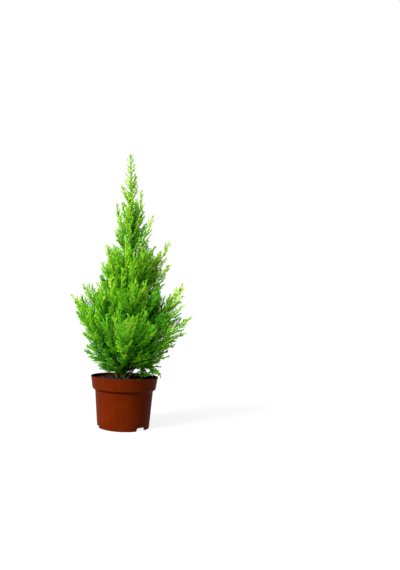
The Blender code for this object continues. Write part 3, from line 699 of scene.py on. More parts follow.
def basalShoots(random):
    # feet in a ring round the stems, each leaning outwards and bent a little more upright at its tip
    count, jitter = basal["shoots"], basal["azimuthJitter"]
    azimuth = (goldenAngle * np.arange(count) + random.uniform(-jitter, jitter, count)) % 360
    lean = np.radians(random.uniform(*basal["lean"], count))[:, None]
    length = random.uniform(*basal["length"], count)[:, None]
    foot = outward(azimuth) * random.uniform(*basal["radius"], count)[:, None]
    foot += np.array([*basal["middle"], trunk["foot"] - basal["sunk"]])
    heading = outward(azimuth) * np.sin(lean) + up * np.cos(lean)
    bend = foot + heading * length / 2
    lines = np.stack([foot, bend, bend + unit(heading + up * basal["upturn"]) * length / 2], axis=1)
    return {
        "line": lines,
        "length": lengthsOf(lines),
        "mass": np.full(count, crownSpace),
        "tier": np.zeros(count, int),
        "mood": random.normal(0, habit["moods"][2], count),
        "order": np.full(count, 2),
    }


random = np.random.default_rng(habit["seed"])
stems = {
    "line": massLines,
    "length": lengthsOf(massLines),
    "mass": np.arange(len(massLines)),
    "tier": massTier,
    "mood": random.normal(0, habit["moods"][0], len(massLines)),
    "order": np.zeros(len(massLines), int),
}
isTop = stems["tier"] == tierNames.index("top")
isSprig, isLeader = stems["mass"] > leader, stems["mass"] == leader
plumes = only(stems, ~isTop & ~isSprig & ~isLeader)
boughlets = carry(plumes, growth["boughlets"], random)
fronds = together(
    carry(plumes, growth["fronds"], random),
    carry(boughlets, growth["boughletFronds"], random),
    carry(only(stems, ~isTop & isSprig), growth["sprigFronds"], random),
)
basalFronds = basalShoots(random)
slimFronds = together(
    carry(only(stems, isLeader), growth["leaderShoots"], random),
    carry(only(stems, isTop), growth["topFronds"], random),
)
stemShoots = carry(together(only(stems, ~isLeader), basalFronds), growth["stemShoots"], random)
sideShoots = together(
    carry(fronds, growth["sideShoots"], random),
    carry(slimFronds, growth["spurs"], random),
)
endShoots = carry(together(sideShoots, stemShoots), growth["endShoots"], random)
fronds = together(boughlets, fronds, basalFronds, slimFronds)
shoots = together(stems, fronds, stemShoots, sideShoots, endShoots)
print(f"{len(boughlets['length'])} boughlets in {len(fronds['length'])} fronds")
print(f"{len(stemShoots['length'])} + {len(sideShoots['length'])} side shoots on stems and fronds")
print(f"{len(endShoots['length'])} end shoots, {shoots['length'].sum():.1f} m of growth in all")


# pairs, each turned a quarter from the last. They stand out less, shorter and narrower, towards the tip
# of their shoot
needle = {
    "seed": 41,
    "pitch": 0.00157,  # from one pair to the next
    "fewest": 2,  # pairs on a shoot
    "bareByOrder": (0.45, 0.30, 0.10, 0.0, 0.0),  # share of a shoot without any
    "lengthByOrder": (0.0027, 0.0027, 0.0026, 0.0024, 0.0022),
    "width": 0.00148,
    "keel": 0.0008,
    "keelAlong": 0.00033,
    "foot": 0.00025,  # from the middle of the shoot
    "turn": 90,
    "angle": 25,
    "tipAngle": 13,
    "tipLength": 0.004,  # the last part of a shoot, over which they change
    "tipShorter": 0.25,
    "tipNarrower": 0.2,
    "spinJitter": 12,
    "angleJitter": (0.82, 1.18),
    "lengthJitter": (0.85, 1.15),
    "finish": {"Roughness": 0.50, "Specular_IOR_Level": 0.22},
}
# shades run from the deep green inside and low down to the lime of new tips
# inside the crown the deeper greens are partly the needles' own colour and partly painted shade
shades = {
    "deep": (0.012, 0.140, 0.0002),
    "leaf": (0.074, 0.370, 0.0006),
    "bright": (0.198, 0.575, 0.003),
    "fresh": (0.430, 0.730, 0.035),
    "lime": (0.570, 0.770, 0.095),
}
tone = {
    "heights": (0.09, 0.20, 0.30, 0.40, 0.487),
    "crownRadius": (0.070, 0.112, 0.078, 0.032, 0.008),
    "byHeight": (1.10, 1.66, 2.50, 3.02, 3.14),  # shade halfway out, from 0, deep, to 4, lime
    # the outer part is partly painted shade: shoots nearer the trunk take deeper greens
    "outer": 2.5,  # added from the trunk to the crown's side
    "outerMiddle": 0.58,  # share of the way out at which nothing is added
    "outerMost": 1.1,
    "tip": -0.3,  # added at the very tip of a shoot
    "tipLength": 0.006,
}


def growNeedles(shoots, random):
    # a closed pyramid: two corners side by side, a keel behind them, and a tip at
    # foot + (heading cos + out sin) length
    bare = np.array(needle["bareByOrder"])[shoots["order"]]
    pairs = np.round(shoots["length"] * (1 - bare) / needle["pitch"]).astype(int)
    pairs = np.maximum(pairs, needle["fewest"])
    which = np.repeat(np.arange(len(pairs)), pairs)
    step = np.arange(len(which)) - np.repeat(np.cumsum(pairs) - pairs, pairs)
    place = bare[which] + (1 - bare[which]) * (step + 0.5) / pairs[which]
    spin = random.uniform(0, 360, len(pairs))[which] + needle["turn"] * step
    spin = spin + random.uniform(-needle["spinJitter"], needle["spinJitter"], len(step))
    which, place = np.repeat(which, 2), np.repeat(place, 2)
    spin = np.repeat(spin, 2) + np.tile([0, 180], len(step))
    count = len(which)
    lines = shoots["line"][which]
    centre, along = pointsOn(lines, place), headingsOn(lines, place)
    out = awayFrom(along, spin)
    side = np.cross(along, out)
    nearTip = np.clip(1 - (1 - place) * shoots["length"][which] / needle["tipLength"], 0, 1)
    angle = np.radians(needle["angle"] + (needle["tipAngle"] - needle["angle"]) * nearTip)
    angle = (angle * random.uniform(*needle["angleJitter"], count))[:, None]
    length = np.array(needle["lengthByOrder"])[shoots["order"][which]]
    length = length * random.uniform(*needle["lengthJitter"], count)
    length = (length * (1 - needle["tipShorter"] * nearTip))[:, None]
    width = needle["width"] * (1 - needle["tipNarrower"] * nearTip)[:, None] / 2
    foot = centre + out * needle["foot"]
    point = foot + (along * np.cos(angle) + out * np.sin(angle)) * length
    keel = foot + out * needle["keel"] + along * needle["keelAlong"]
    points = np.stack([foot + side * width, foot - side * width, keel, point], axis=1)
    return points, np.array([[0, 2, 3], [2, 1, 3], [1, 0, 3], [0, 1, 2]]), which, place


def shadeOf(shoots, which, place):
    # what its height gives + outer times how near it is to the crown's side + its mood + tip times how
    # near the needle is to the end of the shoot
    ends = shoots["line"][:, 2]
    height = ends[:, 2]
    radius = np.hypot(*(ends - axisAt(height))[:, :2].T)
    crownRadius = np.interp(height, tone["heights"], tone["crownRadius"])
    # partly painted shade: the nearer the trunk, the deeper the green
    outer = np.clip(radius / crownRadius, 0, tone["outerMost"]) - tone["outerMiddle"]
    base = np.interp(height, tone["heights"], tone["byHeight"]) + tone["outer"] * outer
    base += shoots["mood"]
    fromTip = (1 - place) * shoots["length"][which]
    return base[which] + tone["tip"] * np.clip(1 - fromTip / tone["tipLength"], 0, 1)


random = np.random.default_rng(needle["seed"])
points, faces, which, place = growNeedles(shoots, random)
shade = np.clip(np.round(shadeOf(shoots, which, place)), 0, len(shades) - 1).astype(int)
groups = {"low": (0, 1), "mid": (2, 3), "top": (4, 5)}  # tiers from the skirt up, the leader last
nodesOf = {
    group: [name for name, tier in zip(massNames, massTier) if tier in members]
    for group, members in groups.items()
}
needleTier = shoots["tier"][which]
triangles = 0
for group, members in groups.items():
    for number, (shadeName, colour) in enumerate(shades.items()):
        chosen = points[np.isin(needleTier, members) & (shade == number)]
        if not len(chosen):
            continue
        name = f"{group}_needles_{shadeName}"
        corners = (4 * np.arange(len(chosen))[:, None, None] + faces).reshape(-1, 3)
        mesh = makeMesh(name, chosen.reshape(-1, 3), [corners])
        finish = Finish(f"{shadeName} needles", Base_Color=colour, **needle["finish"])
        makePiece(name, mesh, finish, nodesOf[group], smooth=False)
        triangles += len(mesh.polygons)
        print(f"{group} {shadeName}: {len(mesh.polygons)} triangles")
print(f"{triangles} triangles of needles")


# the wood and the green shoots that bear the needles. The first orders turn from brown to tan and green
# along their length
twig = {
    "footRadius": (0.00130, 0.00090, 0.00060, 0.00050, 0.00044),  # by order
    "tipRadius": (0.00045, 0.00042, 0.00040, 0.00036, 0.00030),
    "steps": (24, 10, 4, 2, 1),
    "sides": (6, 5, 4, 3, 3),
    "brownTo": (0.62, 0.45),  # by order, as a share of the length
    "tanTo": (1.0, 0.80),
    "roughness": 0.7,
    "colours": {
        "brown": (0.040, 0.026, 0.006),
        "tan": (0.060, 0.150, 0.006),
        "green": (0.035, 0.220, 0.001),
    },
}


def twigTubes(members, order, low=0.0, high=1.0):
    # a straight taper from foot to tip along each shoot, over part of its length
    steps = max(round(twig["steps"][order] * (high - low)), 1)
    share = np.linspace(low, high, steps + 1)[None].repeat(len(members["line"]), 0)
    lines = pointsOn(members["line"][:, None], share)
    foot, tip = twig["footRadius"][order], twig["tipRadius"][order]
    return tubes(lines, foot + (tip - foot) * share, twig["sides"][order])


def joinedMesh(name, parts):
    # all points in a row, each part's faces counted on from the points before it
    points, faces, start = [], {}, 0
    for morePoints, moreFaces in parts:
        points.append(morePoints)
        for f in moreFaces:
            faces.setdefault(f.shape[1], []).append(f + start)
        start += len(morePoints)
    return makeMesh(name, np.concatenate(points), [np.concatenate(f) for f in faces.values()])


for group, members in groups.items():
    mine = only(shoots, np.isin(shoots["tier"], members))
    byOrder = [only(mine, mine["order"] == k) for k in range(len(twig["steps"]))]
    brownTo, tanTo = twig["brownTo"], twig["tanTo"]
    parts = {
        "brown": [twigTubes(byOrder[k], k, 0.0, brownTo[k]) for k in (0, 1)],
        "tan": [twigTubes(byOrder[k], k, brownTo[k], tanTo[k]) for k in (0, 1)],
        "green": [
            twigTubes(byOrder[1], 1, tanTo[1], 1.0),
            *[twigTubes(byOrder[k], k) for k in (2, 3, 4)],
        ],
    }
    for colourName, tubeParts in parts.items():
        mesh = joinedMesh(f"{group}_twigs_{colourName}", tubeParts)
        print(f"{group} {colourName} twigs: {trianglesIn(mesh)} triangles")
        colour = twig["colours"][colourName]
        finish = Finish(f"{colourName} twigs", Base_Color=colour, Roughness=twig["roughness"])
        slot = "bark" if colourName == "brown" else f"{group}_foliage"
        makePiece(f"{group}_twigs_{colourName}", mesh, finish, nodesOf[group])
print("twigs grown")


bark = {
    "seed": 7,
    "sides": 24,
    "ringsPerMetre": 1100,
    "ringsPerRow": 12,
    "fewestRows": 3,
    "ridge": (0.10, 7, 1),  # share of the radius, cells round the limb, and cells along each row
    "flake": (0.07, 9, 3),
    "grain": (0.035, 24, 8),
    "deep": (0.038, 0.014, 0.006),
    "brown": (0.140, 0.060, 0.026),
    "pale": (0.330, 0.190, 0.095),
    "young": (0.180, 0.062, 0.020),
    "youngHeights": (0.20, 0.34),  # where old bark starts to give way, and ends
    "bump": 0.0003,
}
limb = {
    "trunkRings": 308,
    "trunkSunk": 0.004,
    "knot": 0.10,  # of the radius
    "knotWaves": 420,  # radians a metre
    "knotSharpness": 6,
    "stem": {"footRadius": 0.0017, "flare": 0.0007},
    "bough": {"footRadius": 0.00155, "flare": 0.0006},
    "tipRadius": 0.00115,
    "flareLength": 0.004,
    "stemSunk": 0.003,
    "fewestRings": 12,
    # how much of the line that carries a mass has bark of its own, by tier
    "barkTo": {"skirt": 0.30, "lower": 0.42, "middle": 0.42, "upper": 0.30, "top": 0.30},
}


def barkTube(lines, radii, random):
    # radius times 1 + ridge noise, long along the limb, + flakes, shorter, + fine grain
    steps = len(lines)
    u = np.arange(bark["sides"])[None] / bark["sides"] + np.zeros((steps, 1))
    v = np.linspace(0, 1, steps)[:, None] + np.zeros((1, bark["sides"]))
    rows = max(int(steps / bark["ringsPerRow"]), bark["fewestRows"])
    layers = []
    for depth, around, along in (bark["ridge"], bark["flake"], bark["grain"]):
        layers.append(depth * smoothNoise(u, v, around, rows * along, random))
    relief = layers[0] + np.maximum(layers[1], 0) + layers[2]
    return tubes(lines[None], (radii[:, None] * (1 + relief))[None], bark["sides"])


def limbParts(random):
    # the trunk, with a knot wherever a sharpened sine wave peaks, and the barked part of each line that
    # carries a mass. A limb's radius is a straight taper + flare exp(-distance / flareLength)
    heights = np.linspace(trunk["foot"] - limb["trunkSunk"], trunk["tip"], limb["trunkRings"])
    waves = np.maximum(np.sin(heights * limb["knotWaves"]), 0)
    knots = 1 + limb["knot"] * waves ** limb["knotSharpness"]
    parts = [barkTube(axisAt(heights), trunkRadius(heights) * knots, random)]
    stemNames = [f"{tierName}_foliage_{index + 1}" for tierName, index in sideStems]
    for name, line, length in zip(massNames[:-1], massLines, stems["length"]):
        end = limb["barkTo"][name.split("_")[0]]
        isStem = name in stemNames
        kind = limb["stem" if isStem else "bough"]
        rings = max(int(length * end * bark["ringsPerMetre"]), limb["fewestRings"])
        share = np.linspace(0, end, rings)
        radii = np.linspace(kind["footRadius"], limb["tipRadius"], rings)
        radii = radii + kind["flare"] * np.exp(-share * length / limb["flareLength"])
        spots = pointsOn(line[None].repeat(rings, 0), share)
        if isStem:
            spots = np.concatenate([spots[:1] - up * limb["stemSunk"], spots])
            radii = np.concatenate([radii[:1], radii])
        parts.append(barkTube(spots, radii, random))
    return parts


random = np.random.default_rng(bark["seed"])
barkFinish = Finish("thin flaking bark", Roughness=0.85, Specular_IOR_Level=0.25)
strips = barkFinish.noise(scale=420, detail=5, roughness=0.6, stretch=(1, 1, 0.16))
patches = barkFinish.noise(scale=90, detail=3, roughness=0.5, stretch=(1, 1, 0.5))
height = barkFinish.heightOf()
brownShare = barkFinish.range(strips, low=0.36, high=0.62)
paleShare = barkFinish.range(patches, low=0.52, high=0.68, toHigh=0.7)
youngShare = barkFinish.range(height, *bark["youngHeights"])
colour = barkFinish.blend(brownShare, bark["deep"], bark["brown"])
colour = barkFinish.blend(paleShare, colour, bark["pale"])
colour = barkFinish.blend(youngShare, colour, bark["young"])
barkFinish.set("Base Color", colour)
barkFinish.bump(strips, bark["bump"])
woodNodes = ["trunk", "left_stem", "right_stem"] + [n for n in frame["nodes"] if "_bough_" in n]
wood = joinedMesh("bark", limbParts(random))
makePiece("bark", wood, barkFinish, woodNodes)
print("trunk, side stems and boughs made")


pot = {
    "height": 0.090,
    "rimRadius": 0.060,
    "lip": 0.0008,
    "lipHeight": 0.0022,
    "bandHeight": 0.0212,
    "bandFootRadius": 0.0566,
    "bandRound": 0.0012,
    "stepHeight": 0.0036,
    "bodyRadius": 0.0517,
    "footRadius": 0.0464,
    "footWidth": 0.0024,
    "wall": 0.0014,
    "floorHeight": 0.0062,
    "notchHeight": 0.0056,
    "notchWidth": 0.0185,
    "notchSplay": 0.0017,
    "notches": (-48, 72, 192),  # azimuths
    "drainRadius": 0.0045,
    "drainRing": 0.028,
    "drains": 6,
    "drainSides": 40,
    "drainRod": (0.003, 0.012),  # heights between which each hole is cut
    "turns": 288,
    "longestStep": 0.004,
    "sharpAngle": 50,
    "bump": 0.00006,
    "specular": 0.015,
    "colour": (0.078, 0.0088, 0.0002),
    "worn": (0.098, 0.0130, 0.0005),
    "shadow": (0.069, 0.0071, 0.0002),
    "creaseShade": (0.020, 0.0022, 0.0002),
    # painted shade under the band starts at the first height, is full between the next two, ends at the
    # last
    "creaseShadeHeights": (0.0648, 0.0664, 0.0680, 0.0694),
    "creaseShadeShare": 0.75,
}


def roundedProfile(corners, steps=5):
    # each corner (radius, height, rounding) becomes a curve that leaves one side and joins the next at
    # that distance
    spots = [np.array(corners[0][:2])[None]]
    for before, corner, after in zip(corners, corners[1:], corners[2:]):
        here, rounding = np.array(corner[:2]), corner[2]
        back, ahead = np.array(before[:2]) - here, np.array(after[:2]) - here
        back, ahead = back / np.linalg.norm(back), ahead / np.linalg.norm(ahead)
        s = np.linspace(0, 1, steps)[:, None]
        start, end = here + back * rounding, here + ahead * rounding
        spots.append(start * (1 - s) ** 2 + here * 2 * s * (1 - s) + end * s * s)
    spots.append(np.array(corners[-1][:2])[None])
    return np.concatenate(spots)


def potProfile():
    # corners out along the underside, up the outside, over the lip and down the inside, each its radius,
    # height and rounding
    bandFoot = pot["height"] - pot["bandHeight"]
    stepFoot = bandFoot - pot["stepHeight"]
    lipFoot = pot["height"] - pot["lipHeight"]
    floorTop = pot["floorHeight"] + pot["wall"]
    wall, foot = pot["wall"], pot["footRadius"]
    bandTop = pot["rimRadius"] - pot["lip"]
    inFoot = foot + (pot["bodyRadius"] - foot) * floorTop / stepFoot - wall
    return roundedProfile([
        (0, pot["floorHeight"], 0),
        (foot - pot["footWidth"], pot["floorHeight"], 0.0006),
        (foot - pot["footWidth"], 0, 0.0005),
        (foot, 0, 0.0005),
        (pot["bodyRadius"], stepFoot, 0.0008),
        (pot["bandFootRadius"] - pot["bandRound"], bandFoot - pot["bandRound"], 0.0007),
        (pot["bandFootRadius"], bandFoot + 0.0004, 0.0009),
        (bandTop, lipFoot - pot["lip"], 0.0006),
        (pot["rimRadius"], lipFoot, 0.0005),
        (pot["rimRadius"], pot["height"], 0.00055),
        (bandTop - wall, pot["height"], 0.0005),
        (pot["bandFootRadius"] - wall, bandFoot, 0.0008),
        (pot["bodyRadius"] - wall, stepFoot, 0.0008),
        (inFoot, floorTop, 0.0012),
        (0, floorTop, 0),
    ])


def lifted(azimuth, height):
    # over a notch the foot ring is squeezed up towards the floor, between sides that ease in and out
    lift = np.zeros_like(azimuth)
    for notch in pot["notches"]:
        along = np.abs((azimuth - notch + 180) % 360 - 180) * np.pi / 180 * pot["footRadius"]
        t = np.clip((pot["notchWidth"] / 2 + pot["notchSplay"] - along) / (2 * pot["notchSplay"]), 0, 1)
        lift = np.maximum(lift, t * t * (3 - 2 * t))
    share = np.clip(1 - height / pot["floorHeight"], 0, 1)
    return height + lift * share * pot["notchHeight"]


def densified(profile, longest):
    # extra points so that no step along the profile is longer than this
    spots = [profile[:1]]
    for a, b in zip(profile, profile[1:]):
        steps = max(int(np.ceil(np.linalg.norm(b - a) / longest)), 1)
        spots.append(a + (b - a) * (np.arange(1, steps + 1) / steps)[:, None])
    return np.concatenate(spots)


def buildPot():
    # the profile turned round the axis
    profile = densified(potProfile(), pot["longestStep"])
    azimuth = np.linspace(0, 360, pot["turns"], endpoint=False)
    ringAzimuth = azimuth[None] + np.zeros((len(profile), 1))
    height = lifted(ringAzimuth, profile[:, 1:2] + np.zeros((1, len(azimuth))))
    spots = outward(ringAzimuth) * profile[:, 0][:, None, None] + up * height[..., None]
    mesh = makeMesh("pot_wall", spots.reshape(-1, 3), [ringWalls(spots, upwards=True)])
    weld(mesh)
    return mesh


def drilled(mesh):
    # the drain holes, cut by one collection of short rods
    body = addObject("pot_body", mesh)
    rods = bpy.data.collections.new("drain rods")
    bpy.context.scene.collection.children.link(rods)
    centres = outward(360 * (np.arange(pot["drains"]) + 0.5) / pot["drains"]) * pot["drainRing"]
    low, high = pot["drainRod"]
    for i, centre in enumerate(centres):
        ends = np.stack([centre + up * low, centre + up * high])[None]
        radii = np.full((1, 2), pot["drainRadius"])
        rod = makeMesh(f"drain rod {i}", *tubes(ends, radii, pot["drainSides"]))
        rods.objects.link(bpy.data.objects.new(f"drain rod {i}", rod))
    cut = body.modifiers.new("Drains", "BOOLEAN")
    cut.operation, cut.operand_type, cut.collection = "DIFFERENCE", "COLLECTION", rods
    cut.solver = "EXACT"
    made = bpy.data.meshes.new_from_object(body.evaluated_get(bpy.context.evaluated_depsgraph_get()))
    for obj in [*rods.objects, body]:
        bpy.data.objects.remove(obj)
    bpy.data.collections.remove(rods)
    return made


plastic = Finish("moulded terracotta plastic", Specular_IOR_Level=pot["specular"])
mottle = plastic.noise(scale=38, detail=3, roughness=0.5)
streak = plastic.noise(scale=150, detail=4, roughness=0.6, stretch=(1, 1, 0.06))
speck = plastic.noise(scale=900, detail=3, roughness=0.6)
grain = plastic.noise(scale=2600, detail=2, roughness=0.5)
colour = plastic.blend(plastic.range(mottle, low=0.35, high=0.65), pot["shadow"], pot["colour"])
colour = plastic.blend(plastic.range(streak, low=0.50, high=0.75, toHigh=0.35), colour, pot["worn"])
colour = plastic.blend(plastic.range(speck, low=0.66, high=0.74, toHigh=0.30), colour, pot["worn"])
# painted shade: a dark line just under the band, where its underside would be in shadow
creaseLow, creaseFoot, creaseTop, creaseHigh = pot["creaseShadeHeights"]
height = plastic.heightOf()
creaseShade = plastic.range(height, creaseLow, creaseFoot)
creaseShade = creaseShade * plastic.range(height, creaseTop, creaseHigh, toLow=1, toHigh=0)
plastic.set("Base Color", plastic.blend(creaseShade * pot["creaseShadeShare"], colour, pot["creaseShade"]))
roughness = plastic.range(mottle + streak * 0.5, low=0.5, high=1.0, toLow=0.40, toHigh=0.52)
plastic.set("Roughness", roughness)
plastic.bump(grain * 0.6 + speck * 0.4, pot["bump"])
potMesh = drilled(buildPot())
makePiece("nursery_pot", potMesh, plastic, ["pot"])
potMesh.set_sharp_from_angle(angle=np.radians(pot["sharpAngle"]))
print(f"pot turned, {len(potMesh.polygons)} faces")


compost = {
    "seed": 11,
    "top": 0.0855,
    "sag": 0.0020,
    "flatRadius": 0.024,
    "clearance": 0.0003,
    "rings": 74,
    "around": 220,
    "crowding": 0.8,  # under 1 sets the rings closer together towards the wall
    "underHeights": (0.078, 0.074),
    "patch": 0.13,  # what the lattice of lumps spans
    "lattice": 64,
    "cells": (11, 24, 55),  # across the patch
    "lumps": (0.0011, 0.00066, 0.0005),  # how high, one for each size of cell
    "bump": 0.0009,
    "black": (0.0030, 0.0016, 0.0009),
    "brown": (0.0140, 0.0060, 0.0028),
    "pale": (0.070, 0.035, 0.017),
}


def wallRadius(height):
    # the inside of the pot's band
    share = (height - (pot["height"] - pot["bandHeight"])) / pot["bandHeight"]
    top = pot["rimRadius"] - pot["lip"]
    return pot["bandFootRadius"] + (top - pot["bandFootRadius"]) * share - pot["wall"]


compostRandom = np.random.default_rng(compost["seed"])
latticeShape = (len(compost["cells"]), compost["lattice"], compost["lattice"])
compostLattices = compostRandom.uniform(-1, 1, latticeShape)


def compostHeight(x, y):
    # level round the stems, lower by sag at the wall, plus lumps of three sizes
    radius = np.hypot(x, y)
    edge = wallRadius(compost["top"])
    flat = compost["flatRadius"]
    drop = compost["sag"] * np.clip((radius - flat) / (edge - flat), 0, 1)
    bumps = np.zeros_like(radius)
    last = compost["lattice"] - 1
    for lattice, cells, height in zip(compostLattices, compost["cells"], compost["lumps"]):
        u, v = (x / compost["patch"] + 0.5) * cells, (y / compost["patch"] + 0.5) * cells
        i, j = np.floor(u).astype(int), np.floor(v).astype(int)
        bumps += height * blended(lattice, i % last, i % last + 1, j % last, u - i, v - j)
    return compost["top"] - drop + bumps


def buildCompost():
    # rings out to the wall at wall share^crowding - clearance share, then down the wall and under
    around = outward(np.linspace(0, 360, compost["around"], endpoint=False))
    share = np.linspace(0, 1, compost["rings"])
    radius = wallRadius(compost["top"]) * share ** compost["crowding"] - compost["clearance"] * share
    spots = around[None] * radius[:, None, None]
    spots[..., 2] = compostHeight(spots[..., 0], spots[..., 1])
    spots[0, :, 2] = spots[0, 0, 2]  # one height in the middle
    under = []
    for height in compost["underHeights"]:
        under.append(around * (wallRadius(height) - compost["clearance"]) + up * height)
    under.append(np.zeros_like(around) + up * compost["underHeights"][-1])
    spots = np.concatenate([spots, np.array(under)])
    mesh = makeMesh("compost_surface", spots.reshape(-1, 3), [ringWalls(spots, upwards=False)])
    weld(mesh)
    return mesh


crumb = {
    "count": 900,
    "sizes": (0.0005, 0.0021),
    "smallBias": 3,  # the power of a chance number, so that most are small
    "fromWall": 0.003,
    "raised": 0.25,  # of its size
    "cornerJitter": (0.72, 1.15),
    "stretch": (0.6, 1.25),
    "kinds": {"black": 0.55, "brown": 0.33, "pale": 0.12},
}


def crumbMesh(random):
    # a twenty-sided lump, each corner moved in or out, stretched, turned at random and set part-way into
    # the surface. Its corners lie at the golden section g
    g = (1 + 5**0.5) / 2
    corners = unit(np.array([
        (-1, g, 0), (1, g, 0), (-1, -g, 0), (1, -g, 0), (0, -1, g), (0, 1, g),
        (0, -1, -g), (0, 1, -g), (g, 0, -1), (g, 0, 1), (-g, 0, -1), (-g, 0, 1),
    ], float))
    sides = np.array([
        (0, 11, 5), (0, 5, 1), (0, 1, 7), (0, 7, 10), (0, 10, 11), (1, 5, 9), (5, 11, 4), (11, 10, 2),
        (10, 7, 6), (7, 1, 8), (3, 9, 4), (3, 4, 2), (3, 2, 6), (3, 6, 8), (3, 8, 9), (4, 9, 5),
        (2, 4, 11), (6, 2, 10), (8, 6, 7), (9, 8, 1),
    ])
    count = crumb["count"]
    low, high = crumb["sizes"]
    size = low + (high - low) * random.uniform(0, 1, count) ** crumb["smallBias"]
    radius = (wallRadius(compost["top"]) - crumb["fromWall"]) * np.sqrt(random.uniform(0, 1, count))
    centre = outward(random.uniform(0, 360, count)) * radius[:, None]
    centre[:, 2] = compostHeight(centre[:, 0], centre[:, 1]) + size * crumb["raised"]
    shape = corners[None] * random.uniform(*crumb["cornerJitter"], (count, len(corners), 1))
    shape = shape * random.uniform(*crumb["stretch"], (count, 1, 3))
    turn = np.linalg.qr(random.normal(size=(count, 3, 3)))[0]
    turn[:, :, 0] *= np.sign(np.linalg.det(turn))[:, None]
    points = np.einsum("nij,nkj->nki", turn, shape) * size[:, None, None] + centre[:, None]
    return points, sides


fibre = {
    "count": 170,
    "steps": 6,
    "sides": 4,
    "length": (0.004, 0.013),
    "radius": (0.00012, 0.00030),
    "bend": (-0.5, 0.5),
    "within": 0.051,
    "raised": 0.0003,
    "colour": (0.075, 0.038, 0.018),
}


def fibreTubes(random):
    # short hairs that lie along the surface, each centre + along s length + aside bend ss length
    count = fibre["count"]
    length = random.uniform(*fibre["length"], count)
    azimuth = random.uniform(0, 360, count)
    centre = outward(azimuth) * (fibre["within"] * np.sqrt(random.uniform(0, 1, count)))[:, None]
    way = random.uniform(0, 360, count)
    s = np.linspace(-0.5, 0.5, fibre["steps"])
    bend = random.uniform(*fibre["bend"], count)[:, None] * s**2
    along, aside = outward(way), outward(way + 90)
    lines = centre[:, None] + along[:, None] * (s * length[:, None])[..., None]
    lines += aside[:, None] * (bend * length[:, None])[..., None]
    lines[..., 2] = compostHeight(lines[..., 0], lines[..., 1]) + fibre["raised"]
    radii = random.uniform(*fibre["radius"], count)[:, None] * np.ones(fibre["steps"])
    return tubes(lines, radii, fibre["sides"])


soil = Finish("moist peat", Roughness=0.92, Specular_IOR_Level=0.2)
coarse = soil.noise(scale=260, detail=6, roughness=0.65)
fine = soil.noise(scale=1400, detail=4, roughness=0.6)
colour = soil.blend(soil.range(coarse, low=0.38, high=0.66), compost["black"], compost["brown"])
colour = soil.blend(soil.range(fine, low=0.60, high=0.72, toHigh=0.5), colour, compost["pale"])
soil.set("Base Color", colour)
soil.bump(coarse * 0.7 + fine * 0.3, compost["bump"])
makePiece("compost_bed", buildCompost(), soil, ["compost"])
points, sides = crumbMesh(compostRandom)
kinds = compostRandom.choice(len(crumb["kinds"]), len(points), p=tuple(crumb["kinds"].values()))
for number, name in enumerate(crumb["kinds"]):
    chosen = points[kinds == number]
    corners = (points.shape[1] * np.arange(len(chosen))[:, None, None] + sides).reshape(-1, 3)
    mesh = makeMesh(f"crumbs_{name}", chosen.reshape(-1, 3), [corners])
    finish = Finish(f"{name} crumbs", Base_Color=compost[name], Roughness=0.9, Specular_IOR_Level=0.2)
    makePiece(f"crumbs_{name}", mesh, finish)
fibreFinish = Finish("peat fibres", Base_Color=fibre["colour"], Roughness=0.9)
makePiece("peat_fibres", makeMesh("peat_fibres", *fibreTubes(compostRandom)), fibreFinish)
print("compost filled")


studio = {
    "floorRadii": (0.3, 1.0, 6.0, 40.0),
    "floorSides": 96,
    "floorColour": (0.120, 0.120, 0.120),
    "floorCloud": (0.112, 0.112, 0.112),
    "floorGlow": 0.87,
    "ambient": 0.08,  # how bright the sky lights the scene
    "background": 1.02,  # and how bright it looks
    "lights": {
        "key": {
            "azimuth": -50,
            "elevation": 30,
            "softness": 28,
            "power": 7.4,
            "colour": (1.0, 0.985, 0.95),
        },
        "top": {
            "azimuth": -35,
            "elevation": 66,
            "softness": 60,
            "power": 1.5,
            "colour": (1.0, 1.0, 0.98),
        },
    },
}
view = {
    "distance": 0.80,
    "height": 0.18,
    "tilt": 1.7,  # degrees by which the plant leans to the right in the render
    "metresPerPixel": 0.001788,
    "width": 400,
    "tall": 570,
    "potX": 123.0,  # where the pot stands in the render, in pixels from the left and from the top
    "potY": 426.2,
    "sensor": 36,
    "clip": (0.01, 50),
}


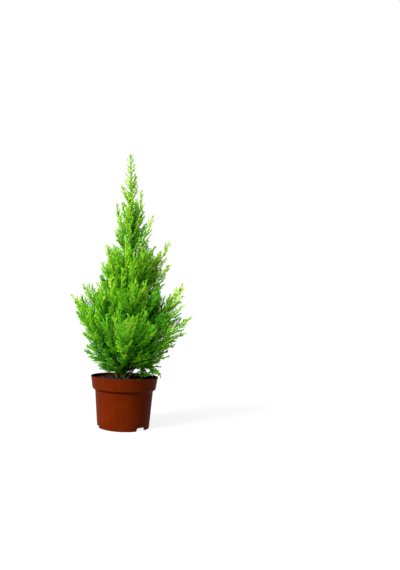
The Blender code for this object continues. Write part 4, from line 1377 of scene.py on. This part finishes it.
def buildFloor():
    # a disc, with rings round it out to the last radius
    azimuth = np.linspace(0, 360, studio["floorSides"], endpoint=False)
    spots = outward(azimuth)[None] * np.array(studio["floorRadii"])[:, None, None]
    faces = [ringWalls(spots, upwards=False), np.arange(studio["floorSides"])[None]]
    mesh = makeMesh("floor", spots.reshape(-1, 3), faces)
    floor = addObject("floor", mesh)
    paint = Finish("pale matt floor", Roughness=0.9, Specular_IOR_Level=0.1, Emission_Color=(1, 1, 1))
    paint.set("Emission Strength", studio["floorGlow"])
    cloud = paint.range(paint.noise(scale=1.5, detail=2), low=0.3, high=0.7)
    paint.set("Base Color", paint.blend(cloud, studio["floorColour"], studio["floorCloud"]))
    mesh.materials.append(paint.material)


def addLights():
    # soft suns, each at its azimuth from the front and its elevation
    for name, light in studio["lights"].items():
        lamp = bpy.data.lights.new(name, "SUN")
        lamp.angle, lamp.energy = np.radians(light["softness"]), light["power"]
        lamp.color = light["colour"]
        sun = addObject(name, lamp)
        sun.rotation_euler = (np.radians(90 - light["elevation"]), 0, np.radians(light["azimuth"]))


def addSky():
    # white to look at, and softer as a light
    world = bpy.data.worlds.new("studio")
    world.use_nodes = True
    nodes, links = world.node_tree.nodes, world.node_tree.links
    share = nodes.new("ShaderNodeMapRange")
    share.inputs["To Min"].default_value = studio["ambient"]
    share.inputs["To Max"].default_value = studio["background"]
    seen = nodes.new("ShaderNodeLightPath").outputs["Is Camera Ray"]
    links.new(seen, share.inputs["Value"])
    nodes["Background"].inputs["Color"].default_value = (1, 1, 1, 1)
    links.new(share.outputs["Result"], nodes["Background"].inputs["Strength"])
    bpy.context.scene.world = world


def addCamera():
    # level, rolled by the tilt. The lens gives metresPerPixel at the plant, and the shift puts the pot's
    # foot at potX and potY
    tilt = np.radians(view["tilt"])
    drop = view["height"] / view["metresPerPixel"]
    camera = bpy.data.cameras.new("camera")
    camera.sensor_width = view["sensor"]
    camera.lens = view["distance"] / view["metresPerPixel"] * view["sensor"] / view["tall"]
    camera.shift_x = (view["width"] / 2 - (view["potX"] + drop * np.sin(tilt))) / view["tall"]
    camera.shift_y = (view["potY"] - drop - view["tall"] / 2) / view["tall"]
    camera.clip_start, camera.clip_end = view["clip"]
    holder = addObject("camera", camera)
    holder.location = (0, -view["distance"], view["height"])
    holder.rotation_euler = (np.pi / 2, -tilt, 0)
    bpy.context.scene.camera = holder


buildFloor()
addSky()
addLights()
addCamera()
bpy.context.scene.view_settings.view_transform = "Standard"
print("studio set")
